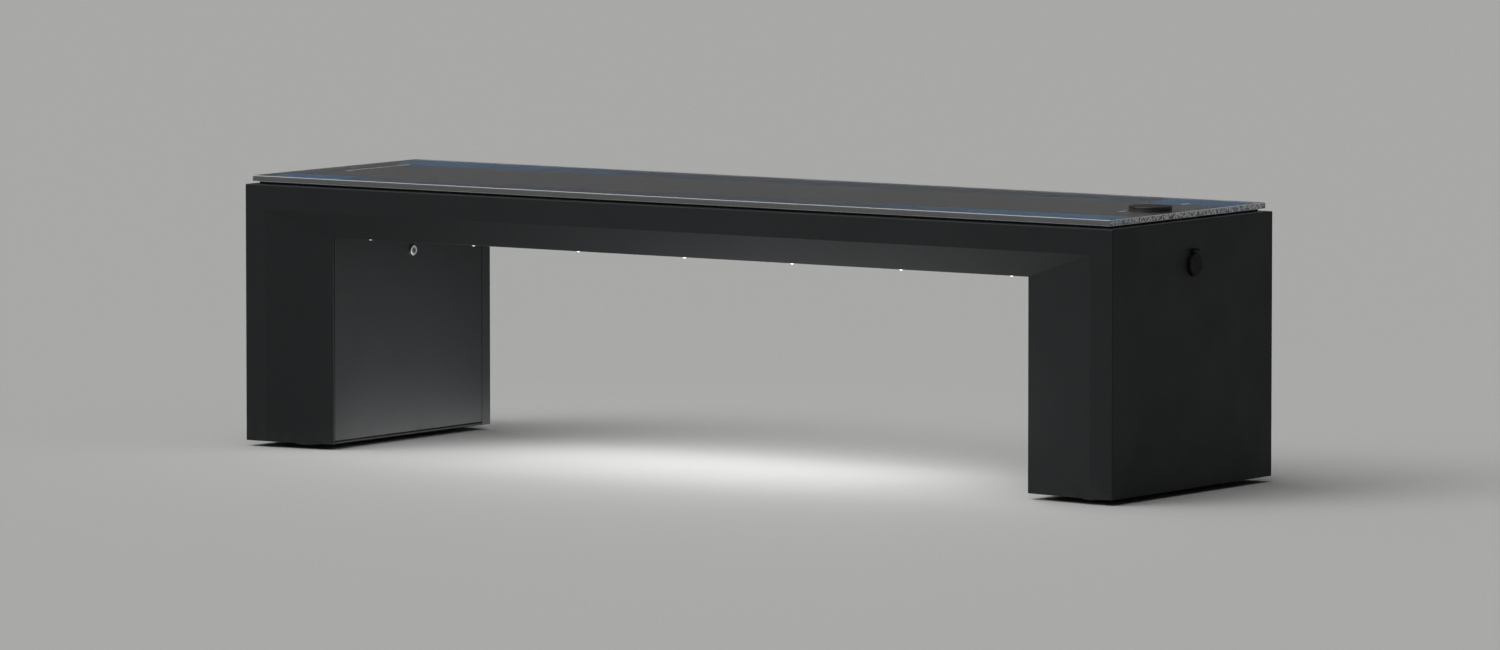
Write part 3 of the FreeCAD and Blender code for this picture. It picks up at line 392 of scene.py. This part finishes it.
def cellLook(look):
    mat, shader = newLook("blueSilicon", look["darkBlue"], 0.32)
    here = place(mat)
    axes = add(mat, "ShaderNodeSeparateXYZ", Vector=here)
    large, small = (patches(mat, here, size, {"distance": "MANHATTAN"}) for size in look["flakes"])
    tone = add(mat, "ShaderNodeMix", {"data_type": "FLOAT"}, _0=look["smallShare"], _2=large,
               _3=small).outputs[0]
    flakes = spread(mat, tone, look["flakeTone"], 1, *look["flakeFrom"])
    # the real flakes mottle the painted reflection
    flakesAndReflection = sums(mat, "MULTIPLY", flakes, paintedReflectionTones(mat, axes, look))
    blue = blendColor(mat, flakesAndReflection, look["darkBlue"], look["reflectedBlue"])
    fingers = lines(mat, axes.outputs["X"], look["fingerPitch"], look["fingerWidth"])
    silver = sums(mat, "MAXIMUM", fingers, ribbonLines(mat, axes, look))
    join(mat, blendColor(mat, silver, blue, look["silver"]), shader.inputs["Base Color"])
    join(mat, spread(mat, tone, *look["roughness"], 0, 1), shader.inputs["Roughness"])
    bumps(mat, shader, (silver, look["silverDepth"]))
    return mat


backsheet = {
    "color": (0.018, 0.018, 0.018),
    "paleColor": (0.028, 0.028, 0.028),
    "toneSize": 0.12,
    "roughness": (0.5, 0.7),
    "roughSize": 0.004,
    "grain": 0.0008,
    "depth": 0.00001,
}


def backsheetLook(look):
    mat, shader = newLook("blackFilm", look["color"], 0.6)
    here = place(mat)
    axes = add(mat, "ShaderNodeSeparateXYZ", Vector=here)
    tone = spread(mat, noise(mat, here, look["toneSize"], 5), 0, 1)
    film = blendColor(mat, tone, look["color"], look["paleColor"])
    ribbons = ribbonLines(mat, axes, cells)
    join(mat, blendColor(mat, ribbons, film, cells["silver"]), shader.inputs["Base Color"])
    rough = spread(mat, noise(mat, here, look["roughSize"], 2), *look["roughness"])
    join(mat, rough, shader.inputs["Roughness"])
    bumps(mat, shader, (noise(mat, here, look["grain"], 2), look["depth"]))
    return mat


# seat glass: etched faces, satin long edges, rough short edges
glass = {
    "tint": (0.975, 0.980, 0.978),
    "ior": 1.5,
    "faceRoughness": (0.20, 0.26),
    "smudgeSize": 0.07,
    "smudgeFrom": (0.5, 0.75),
    "waveSize": 0.05,
    "waveDepth": 0.00001,
}


def throughLamps(mat, shader, tint):
    # lamps shine through to the cells
    clear = add(mat, "ShaderNodeBsdfTransparent", Color=(*tint, 1))
    shadow = add(mat, "ShaderNodeLightPath").outputs["Is Shadow Ray"]
    both = add(mat, "ShaderNodeMixShader", _0=shadow, _1=shader.outputs[0], _2=clear.outputs[0])
    join(mat, both.outputs[0], mat.node_tree.nodes["Material Output"].inputs["Surface"])


def newGlass(name, color, roughness, clear):
    mat, shader = newLook(name, color, roughness)
    shader.inputs["Transmission Weight"].default_value = clear
    shader.inputs["IOR"].default_value = glass["ior"]
    throughLamps(mat, shader, color)
    return mat, shader


def glassLook(look):
    mat, shader = newGlass("toughenedGlass", look["tint"], 0.0, 1.0)
    here = place(mat)
    greasy = noise(mat, here, look["smudgeSize"], 6, 0.65)
    smudges = spread(mat, greasy, *look["faceRoughness"], *look["smudgeFrom"])
    join(mat, smudges, shader.inputs["Roughness"])
    bumps(mat, shader, (noise(mat, here, look["waveSize"], 2), look["waveDepth"]))
    return mat


groundGlass = {
    "color": (0.80, 0.81, 0.81),
    "darkColor": (0.10, 0.10, 0.10),
    "clear": 0.3,
    "roughness": (0.15, 0.45),
    "chipsAndGlintsFrom": (0.20, 0.62),
    "facetLift": 0.25,
    "chipSize": 0.0032,
    "chipDepth": 0.0004,
}


def groundGlassLook(look):
    mat, shader = newGlass("groundGlass", look["color"], 0.35, look["clear"])
    here = place(mat)
    cloudy = noise(mat, here, look["chipSize"], 5, 0.75)
    chips = add(mat, "ShaderNodeTexVoronoi", {"feature": "SMOOTH_F1"}, Vector=here,
                Scale=1 / look["chipSize"])
    facet = add(mat, "ShaderNodeSeparateColor", Color=chips.outputs["Color"]).outputs[0]
    # the white specks are partly the real whitish chips of the ground edge and partly painted
    # glints
    chipsAndGlints = sums(mat, "MULTIPLY", cloudy, sums(mat, "ADD", facet, look["facetLift"]))
    whiteChipsAndGlints = spread(mat, chipsAndGlints, 0, 1, *look["chipsAndGlintsFrom"])
    join(mat, blendColor(mat, whiteChipsAndGlints, look["darkColor"], look["color"]),
         shader.inputs["Base Color"])
    join(mat, spread(mat, facet, *look["roughness"], 0, 1), shader.inputs["Roughness"])
    bumps(mat, shader, (chips.outputs["Distance"], look["chipDepth"]),
          (cloudy, look["chipDepth"] / 2))
    return mat


satin = {
    # the arris is ground glass, and its near-white colour is also a painted highlight along the
    # arrises
    "arris": {"color": (0.80, 0.80, 0.79), "clear": 0.2, "roughness": (0.35, 0.5),
              "grain": 0.0012},
    "edge": {"color": (0.15, 0.15, 0.148), "clear": 0.25, "roughness": (0.30, 0.45),
             "grain": 0.0007},
    "shade": 0.6,
    "depth": 0.00002,
}


def satinLook(name, look):
    mat, shader = newGlass(name, look["color"], 0.4, look["clear"])
    grain = noise(mat, place(mat), look["grain"], 2)
    dark = darker(look["color"], satin["shade"])
    shade = blendColor(mat, spread(mat, grain, 0, 1), dark, look["color"])
    join(mat, shade, shader.inputs["Base Color"])
    join(mat, spread(mat, grain, *look["roughness"]), shader.inputs["Roughness"])
    bumps(mat, shader, (grain, satin["depth"]))
    return mat


# light points, the ones towards the left end look dimmer
lens = {
    "color": (0.90, 0.90, 0.87),
    "shade": 0.85,
    "toneSize": 0.003,
    "roughness": (0.2, 0.35),
    "roughSize": 0.002,
    "ring": 0.0011,
    "ringDepth": 0.00005,
    "glow": (1.0, 0.97, 0.92),
    "strength": 1.7,
    "dimTo": -0.70,
    "fullFrom": -0.05,
    "falloff": 2.0,
}


def lensLook(look):
    mat, shader = newLook("diffusingLens", look["color"], 0.25)
    here = place(mat)
    dark = darker(look["color"], look["shade"])
    shade = blendColor(mat, noise(mat, here, look["toneSize"], 2), look["color"], dark)
    join(mat, shade, shader.inputs["Base Color"])
    rough = spread(mat, noise(mat, here, look["roughSize"], 2), *look["roughness"])
    join(mat, rough, shader.inputs["Roughness"])
    bumps(mat, shader, (noise(mat, here, look["ring"], 1), look["ringDepth"]))
    shader.inputs["Emission Color"].default_value = (*look["glow"], 1)
    along = add(mat, "ShaderNodeSeparateXYZ", Vector=here).outputs["X"]
    share = spread(mat, along, 0, 1, look["dimTo"], look["fullFrom"])
    graded = sums(mat, "POWER", share, look["falloff"])
    strength = sums(mat, "MULTIPLY", graded, look["strength"])
    join(mat, strength, shader.inputs["Emission Strength"])
    return mat


looks = {
    "powder_coat": powderCoatLook(powderCoat),
    "coil_copper": coilLook(coil),
    "strap_webbing": strapLook(strap),
    "solar_cell": cellLook(cells),
    "backsheet": backsheetLook(backsheet),
    "seat_glass": glassLook(glass),
    "ground_glass": groundGlassLook(groundGlass),
    "glass_arris": satinLook("groundArrisHighlight", satin["arris"]),
    "glass_edge": satinLook("satinEdge", satin["edge"]),
    "light_lens": lensLook(lens),
}
for slot, look in metals.items():
    looks[slot] = metalLook(slot, look)
for slot, look in plastics.items():
    looks[slot] = plasticLook(slot, look)


def dress(node, look):
    for materialSlot in parts[node].material_slots:
        materialSlot.material = looks[look]


for row in frame["record"]["subparts"]:
    dress(row["node"], row["material_slot"])
# the zinc of the hinge is passivated black, as no bright line shows under the flap
for node in ("hinge_frame_leaf", "hinge_flap_leaf"):
    dress(node, "hinge_zinc")
print("finishes on all parts")


# pieces built here
def newPiece(name, mesh, finish, body="bench"):
    data = bpy.data.meshes.new(name)
    mesh.to_mesh(data)
    mesh.free()
    obj = bpy.data.objects.new(name, data)
    bpy.context.collection.objects.link(obj)
    data.materials.append(finish)
    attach(obj, body)
    return obj


def boxMesh(mesh, low, high):
    corners = [(x, y, z) for x in (low[0], high[0]) for y in (low[1], high[1])
               for z in (low[2], high[2])]
    points = [mesh.verts.new(c) for c in corners]
    faces = ((0, 1, 3, 2), (4, 6, 7, 5), (0, 4, 5, 1), (2, 3, 7, 6), (0, 2, 6, 4), (1, 5, 7, 3))
    for face in faces:
        mesh.faces.new([points[i] for i in face])
    return mesh


# the glass plate is bonded to the cells, with a hair of air over the film between them
plate = {
    "corner": 0.004,
    "cornerSteps": 8,
    "arris": 0.0009,
    "arrisSteps": 2,
    "bond": 0.00002,
    "holeRadius": 0.010,
    "holeSides": 64,
    "drillDepth": 0.05,
}


def rise(edge):
    return abs(edge.verts[0].co.z - edge.verts[1].co.z)


def soften(mesh, edges, width, steps):
    bmesh.ops.bevel(mesh, geom=edges, offset=width, segments=steps, profile=0.5, affect="EDGES")


def glassPlate(look):
    low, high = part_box("glass_top")
    low.z -= look["bond"]
    mesh = boxMesh(bmesh.new(), low, high)
    level = 1e-6  # an edge that rises less than this, in metres, is level
    facing = 0.9  # a face whose normal has more than this in a direction faces that way
    uprights = [e for e in mesh.edges if rise(e) > level]
    soften(mesh, uprights, look["corner"], look["cornerSteps"])
    rims = [e for e in mesh.edges if rise(e) < level and len(e.link_faces) == 2
            and any(abs(f.normal.z) > facing for f in e.link_faces)]
    soften(mesh, rims, look["arris"], look["arrisSteps"])
    bmesh.ops.recalc_face_normals(mesh, faces=mesh.faces)
    # finish 0 is on the faces, 1 on the short edges and corners, 2 on the arrises, and 3 on the
    # long edges
    for face in mesh.faces:
        x, y, z = (abs(part) for part in face.normal)
        if 0.2 < z < 0.95:
            face.material_index = 2
        elif x > 0.1:
            face.material_index = 1
        elif y > facing:
            face.material_index = 3
    obj = newPiece("seat_glass_plate", mesh, looks["seat_glass"])
    for finish in ("ground_glass", "glass_arris", "glass_edge"):
        obj.data.materials.append(looks[finish])
    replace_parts(obj, "glass_top")
    return obj


def drill(obj, x, y, look):
    # cuts an upright round hole and bakes it into the mesh
    low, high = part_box("glass_top")
    mesh = bmesh.new()
    bmesh.ops.create_cone(mesh, cap_ends=True, segments=look["holeSides"], depth=look["drillDepth"],
                          radius1=look["holeRadius"], radius2=look["holeRadius"])
    bmesh.ops.translate(mesh, verts=mesh.verts, vec=(x, y, (low.z + high.z) / 2))
    data = bpy.data.meshes.new("drill")
    mesh.to_mesh(data)
    mesh.free()
    tool = bpy.data.objects.new("drill", data)
    bpy.context.collection.objects.link(tool)
    cut = obj.modifiers.new("hole", "BOOLEAN")
    cut.operation, cut.solver, cut.object = "DIFFERENCE", "EXACT", tool
    shaped = obj.evaluated_get(bpy.context.evaluated_depsgraph_get())
    done = bpy.data.meshes.new_from_object(shaped)
    obj.modifiers.remove(cut)
    obj.data = done
    bpy.data.objects.remove(tool)


seatPlate = glassPlate(plate)
puckLow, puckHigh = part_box("charger_cover")
drill(seatPlate, (puckLow.x + puckHigh.x) / 2, (puckLow.y + puckHigh.y) / 2, plate)
print("glass plate made")

# thin broken lines printed across the seat near both ends, baked onto the glass
marks = {
    "width": 0.0045,
    "thickness": 0.00003,
    "lines": (
        {"x": -0.820, "from": -0.061, "runs": (0.026, 0.013, 0.020), "gap": 0.003},
        {"x": -0.820, "from": 0.010, "runs": (0.012, 0.024, 0.018, 0.008, 0.038), "gap": 0.0035},
        {"x": 0.800, "from": -0.074, "runs": (0.021,), "gap": 0.003},
        {"x": 0.800, "from": 0.119, "runs": (0.024,), "gap": 0.003},
    ),
    "color": (0.62, 0.62, 0.60),
    "wornColor": (0.42, 0.42, 0.41),
    "wearSize": 0.002,
}


def printedMarks(look):
    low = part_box("glass_top")[1].z
    high = low + look["thickness"]
    half = look["width"] / 2
    mesh = bmesh.new()
    for line in look["lines"]:
        y = line["from"]
        for run in line["runs"]:
            boxMesh(mesh, (line["x"] - half, y, low), (line["x"] + half, y + run, high))
            y += run + line["gap"]
    ink, shader = newLook("whiteInk", look["color"], 0.6)
    worn = spread(ink, noise(ink, place(ink), look["wearSize"], 4), 0, 1)
    join(ink, blendColor(ink, worn, look["color"], look["wornColor"]), shader.inputs["Base Color"])
    newPiece("printed_marks", mesh, ink)


printedMarks(marks)
print("printed marks made")

# small fittings behind the service flap
lidScrews = {"radius": 0.0036, "height": 0.0024, "hexagon": 0.0015, "inset": 0.008}
terminals = {
    "count": 6,
    "caseDepth": 0.030,
    "side": 0.012,
    "from": 0.004,
    "to": 0.019,
    "block": 0.005,
    "rib": 0.009,
    "ribWidth": 0.0014,
    "ribOver": 0.001,
    "softEdge": 0.0003,
    "screw": 0.0031,
    "screwHeight": 0.6,
    "screwHexagon": 0.42,
}
collars = {
    "inner": 0.0071,
    "outer": 0.0100,
    "height": 0.0034,
    "softShare": 0.25,
    "postSpacing": 0.080,
    "postInset": 0.030,
    "postHeight": 0.009,
    "posts": ((-1, "red_collar", "battery_sheath"), (1, "black_collar", "black_plastic")),
}
roundSides = 24


def skin(mesh, rows, closed=False):
    # walls between rings of points, with flat ends unless the last ring meets the first
    following = rows[1:] + rows[:1] if closed else rows[1:]
    for lower, upper in zip(rows, following):
        for i in range(len(lower)):
            j = (i + 1) % len(lower)
            mesh.faces.new((lower[i], lower[j], upper[j], upper[i]))
    if not closed:
        mesh.faces.new(rows[0])
        mesh.faces.new(rows[-1])


def turned(mesh, foot, axis, rings, hollow=False):
    # rings are (radius, height, six-sided) rows from the foot up
    rows = []
    for radius, height, sixSided in rings:
        row = []
        for i in range(roundSides):
            turn = math.radians(360 / roundSides * i)
            reach = radius / math.cos(turn % (math.pi / 3) - math.pi / 6) if sixSided else radius
            a, b = reach * math.cos(turn), reach * math.sin(turn)
            offset = (height, a, b) if axis == "X" else (a, b, height)
            row.append(mesh.verts.new([f + o for f, o in zip(foot, offset)]))
        rows.append(row)
    skin(mesh, rows, hollow)


def screwHead(mesh, foot, radius, height, hexagon):
    # a domed head with a hexagon socket
    rings = (
        (radius, 0, False),
        (radius, height * 0.35, False),
        (radius * 0.86, height * 0.8, False),
        (radius * 0.62, height, False),
        (hexagon, height, True),
        (hexagon, height * 0.3, True),
    )
    turned(mesh, foot, "X", rings)


def newFitting(name, mesh, slot):
    bmesh.ops.recalc_face_normals(mesh, faces=mesh.faces)
    return newPiece(name, mesh, looks[slot])


def boxFittings(look):
    low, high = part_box("control_box")
    mesh = bmesh.new()
    for y in (low.y + look["inset"], high.y - look["inset"]):
        for z in (low.z + look["inset"], high.z - look["inset"]):
            screwHead(mesh, (high.x, y, z), look["radius"], look["height"], look["hexagon"])
    newFitting("lid_screws", mesh, "zinc_steel")


def terminalRow(look):
    low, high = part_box("charge_controller")
    face = low.x + look["caseDepth"]
    left, right = low.y + look["side"], high.y - look["side"]
    foot, top = low.z + look["from"], low.z + look["to"]
    pitch = (right - left) / look["count"]
    screw = look["screw"]
    block, screws = bmesh.new(), bmesh.new()
    boxMesh(block, (face, left, foot), (face + look["block"], right, top))
    for i in range(look["count"] + 1):
        y = left + i * pitch - look["ribWidth"] / 2
        boxMesh(block, (face, y, foot),
                (face + look["rib"], y + look["ribWidth"], top + look["ribOver"]))
        if i < look["count"]:
            middle = (face + look["block"], left + (i + 0.5) * pitch, (foot + top) / 2)
            screwHead(screws, middle, screw, screw * look["screwHeight"],
                      screw * look["screwHexagon"])
    soften(block, list(block.edges), look["softEdge"], 1)
    newFitting("terminal_block", block, "black_plastic")
    newFitting("terminal_screws", screws, "zinc_steel")


def postCollars(look):
    low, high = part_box("battery")
    inner, outer, top = look["inner"], look["outer"], look["height"]
    soft = top * look["softShare"]
    rings = (
        (inner, 0, False),
        (outer, 0, False),
        (outer, top - soft, False),
        (outer - soft, top, False),
        (inner, top, False),
    )
    for side, name, slot in look["posts"]:
        mesh = bmesh.new()
        foot = ((low.x + high.x) / 2 + side * look["postSpacing"] / 2, high.y - look["postInset"],
                high.z - look["postHeight"])
        turned(mesh, foot, "Z", rings, hollow=True)
        newFitting(name, mesh, slot)


boxFittings(lidScrews)
terminalRow(terminals)
postCollars(collars)
print("small fittings made")

# webbing strap over the battery, pulled tight through a steel buckle
strapForm = {"thickness": 0.0015, "edge": 0.0004, "bend": 0.0055, "bendSteps": 6, "tail": 0.055}
buckle = {
    "across": 0.033,
    "along": 0.021,
    "corner": 0.004,
    "cornerSteps": 4,
    "bar": 0.0013,
    "sides": 8,
}


def webbing(look, rows, low, high):
    # rows are the outside of the strap in the end view, each with the way it faces
    t, e = look["thickness"], look["edge"]
    section = ((low, e), (low + e, 0), (high - e, 0), (high, e),
               (high, t - e), (high - e, t), (low + e, t), (low, t - e))
    mesh = bmesh.new()
    skin(mesh, [[mesh.verts.new((x, y - depth * math.cos(turn), z - depth * math.sin(turn)))
                 for x, depth in section] for y, z, turn in rows])
    return mesh


def strapLoop(look):
    low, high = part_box("battery_strap")
    bend = look["bend"]
    rows = [(low.y, low.z, math.pi)]
    for y, start in ((low.y + bend, math.pi), (high.y - bend, math.pi / 2)):
        for i in range(look["bendSteps"] + 1):
            turn = start - math.pi / 2 * i / look["bendSteps"]
            rows.append((y + bend * math.cos(turn), high.z - bend + bend * math.sin(turn), turn))
    rows.append((high.y, low.z, 0.0))
    mesh = webbing(look, rows, low.x, high.x)
    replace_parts(newFitting("strap_webbing_loop", mesh, "strap_webbing"), "battery_strap")


def strapTail(look, steel, middle):
    low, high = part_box("battery_strap")
    start = middle.y + steel["along"] / 2 + steel["bar"]
    top = high.z + look["thickness"]
    rows = [(start + share * look["tail"], top, math.pi / 2) for share in (0, 0.5, 1)]
    newFitting("strap_tail", webbing(look, rows, low.x, high.x), "strap_webbing")


def strapBuckle(look, middle):
    # a round bar bent to a frame, with a second bar across it
    mesh = bmesh.new()
    upward = Vector((0, 0, 1))
    reachX = look["across"] / 2 - look["corner"]
    reachY = look["along"] / 2 - look["corner"]
    ring = [2 * math.pi * i / look["sides"] for i in range(look["sides"])]
    rows = []
    for corner, (signX, signY) in enumerate(((1, 1), (-1, 1), (-1, -1), (1, -1))):
        for i in range(look["cornerSteps"] + 1):
            turn = math.pi / 2 * (corner + i / look["cornerSteps"])
            out = Vector((math.cos(turn), math.sin(turn), 0))
            at = middle + Vector((reachX * signX, reachY * signY, 0)) + out * look["corner"]
            around = [out * math.cos(a) + upward * math.sin(a) for a in ring]
            rows.append([mesh.verts.new(at + look["bar"] * way) for way in around])
    skin(mesh, rows, closed=True)
    barRing = [(look["bar"] * math.cos(a), look["bar"] * math.sin(a)) for a in ring]
    skin(mesh, [[mesh.verts.new(middle + Vector((x, y, z))) for y, z in barRing]
                for x in (-look["across"] / 2, look["across"] / 2)])
    newFitting("strap_buckle", mesh, "stainless")


strapLow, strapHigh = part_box("battery_strap")
strapMiddle = (strapLow + strapHigh) / 2
strapMiddle.z = strapHigh.z + buckle["bar"]
strapLoop(strapForm)
strapTail(strapForm, buckle, strapMiddle)
strapBuckle(buckle, strapMiddle)
print("battery strap made")

# studio
studio = {
    "floorColor": (0.47, 0.47, 0.465),
    "floorShade": 0.95,
    "floorSize": 240.0,
    "floorTiles": 8,
    "floorGrain": 0.004,
    "floorGloss": 0.1,
    "worldColor": (0.084, 0.084, 0.084),
}
lamps = {
    "top": {"from": (-0.25, -0.35, 1.0), "strength": 2.3, "softness": 70},
    "key": {"from": (-0.75, -0.90, 0.75), "strength": 0.7, "softness": 40},
}


def makeFloor(look):
    mesh = bmesh.new()
    bmesh.ops.create_grid(mesh, x_segments=look["floorTiles"], y_segments=look["floorTiles"],
                          size=look["floorSize"] / 2)
    data = bpy.data.meshes.new("studioFloor")
    mesh.to_mesh(data)
    mesh.free()
    floor = bpy.data.objects.new("studioFloor", data)
    bpy.context.collection.objects.link(floor)
    mat, shader = newLook("paleFloor", look["floorColor"], 0.85)
    tone = spread(mat, noise(mat, place(mat), look["floorGrain"], 2), 0, 1)
    dark = darker(look["floorColor"], look["floorShade"])
    join(mat, blendColor(mat, tone, look["floorColor"], dark), shader.inputs["Base Color"])
    shader.inputs["Specular IOR Level"].default_value = look["floorGloss"]
    data.materials.append(mat)


def makeLamp(name, look):
    # a sun as wide as a large soft box, so that the floor is lit evenly to its far edge
    data = bpy.data.lights.new(name, "SUN")
    data.energy = look["strength"]
    data.angle = math.radians(look["softness"])
    obj = bpy.data.objects.new(name, data)
    obj.rotation_euler = Vector(look["from"]).to_track_quat("Z", "Y").to_euler()
    bpy.context.collection.objects.link(obj)


def makeWorld(look):
    world = bpy.data.worlds.new("plainStudio")
    bpy.context.scene.world = world
    world.use_nodes = True
    background = world.node_tree.nodes["Background"]
    background.inputs["Color"].default_value = (*look["worldColor"], 1)


makeFloor(studio)
makeWorld(studio)
for name, look in lamps.items():
    makeLamp(name + "Lamp", look)

# the light points are on: a weak narrow cone each, and one wide soft lamp for what they add up to
spots = {"power": 0.35, "angle": 70, "blend": 1.0, "radius": 0.004, "count": 7, "below": 0.002}
glow = {"power": 3.6, "length": 1.0, "width": 0.05, "below": 0.004}
# the lit floor shines back up at the rim and the legs
bounce = {
    "middle": {"power": 4.4, "length": 0.70, "width": 0.42, "place": (0.06, -0.22, 0.004)},
    "leftFoot": {"power": 1.1, "length": 0.20, "width": 0.62, "place": (-0.615, 0.10, 0.004)},
    "rightFoot": {"power": 0.4, "length": 0.20, "width": 0.62, "place": (0.615, 0.10, 0.004)},
}


def lightPoints(look):
    low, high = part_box("light_lenses")
    radius = (high.y - low.y) / 2
    for i in range(look["count"]):
        share = i / (look["count"] - 1)
        data = bpy.data.lights.new("spot" + str(i + 1), "SPOT")
        data.energy = look["power"]
        data.spot_size = math.radians(look["angle"])
        data.spot_blend = look["blend"]
        data.shadow_soft_size = look["radius"]
        obj = bpy.data.objects.new("spot" + str(i + 1), data)
        x = low.x + radius + share * (high.x - low.x - 2 * radius)
        obj.location = (x, (low.y + high.y) / 2, low.z - look["below"])
        bpy.context.collection.objects.link(obj)


def softLamp(name, look, where, turn):
    data = bpy.data.lights.new(name, "AREA")
    data.shape = "RECTANGLE"
    data.size, data.size_y = look["length"], look["width"]
    data.energy = look["power"]
    obj = bpy.data.objects.new(name, data)
    obj.location = where
    obj.rotation_euler = turn
    obj.visible_camera = False
    bpy.context.collection.objects.link(obj)


beamLow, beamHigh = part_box("beam_underside")
glowPlace = ((beamLow.x + beamHigh.x) / 2, 0.0, beamLow.z - glow["below"])
softLamp("beamGlow", glow, glowPlace, (0, 0, 0))
for name, look in bounce.items():
    softLamp(name + "Bounce", look, look["place"], (math.pi, 0, 0))
lightPoints(spots)
bpy.context.scene.view_settings.view_transform = "Standard"
print("studio made")
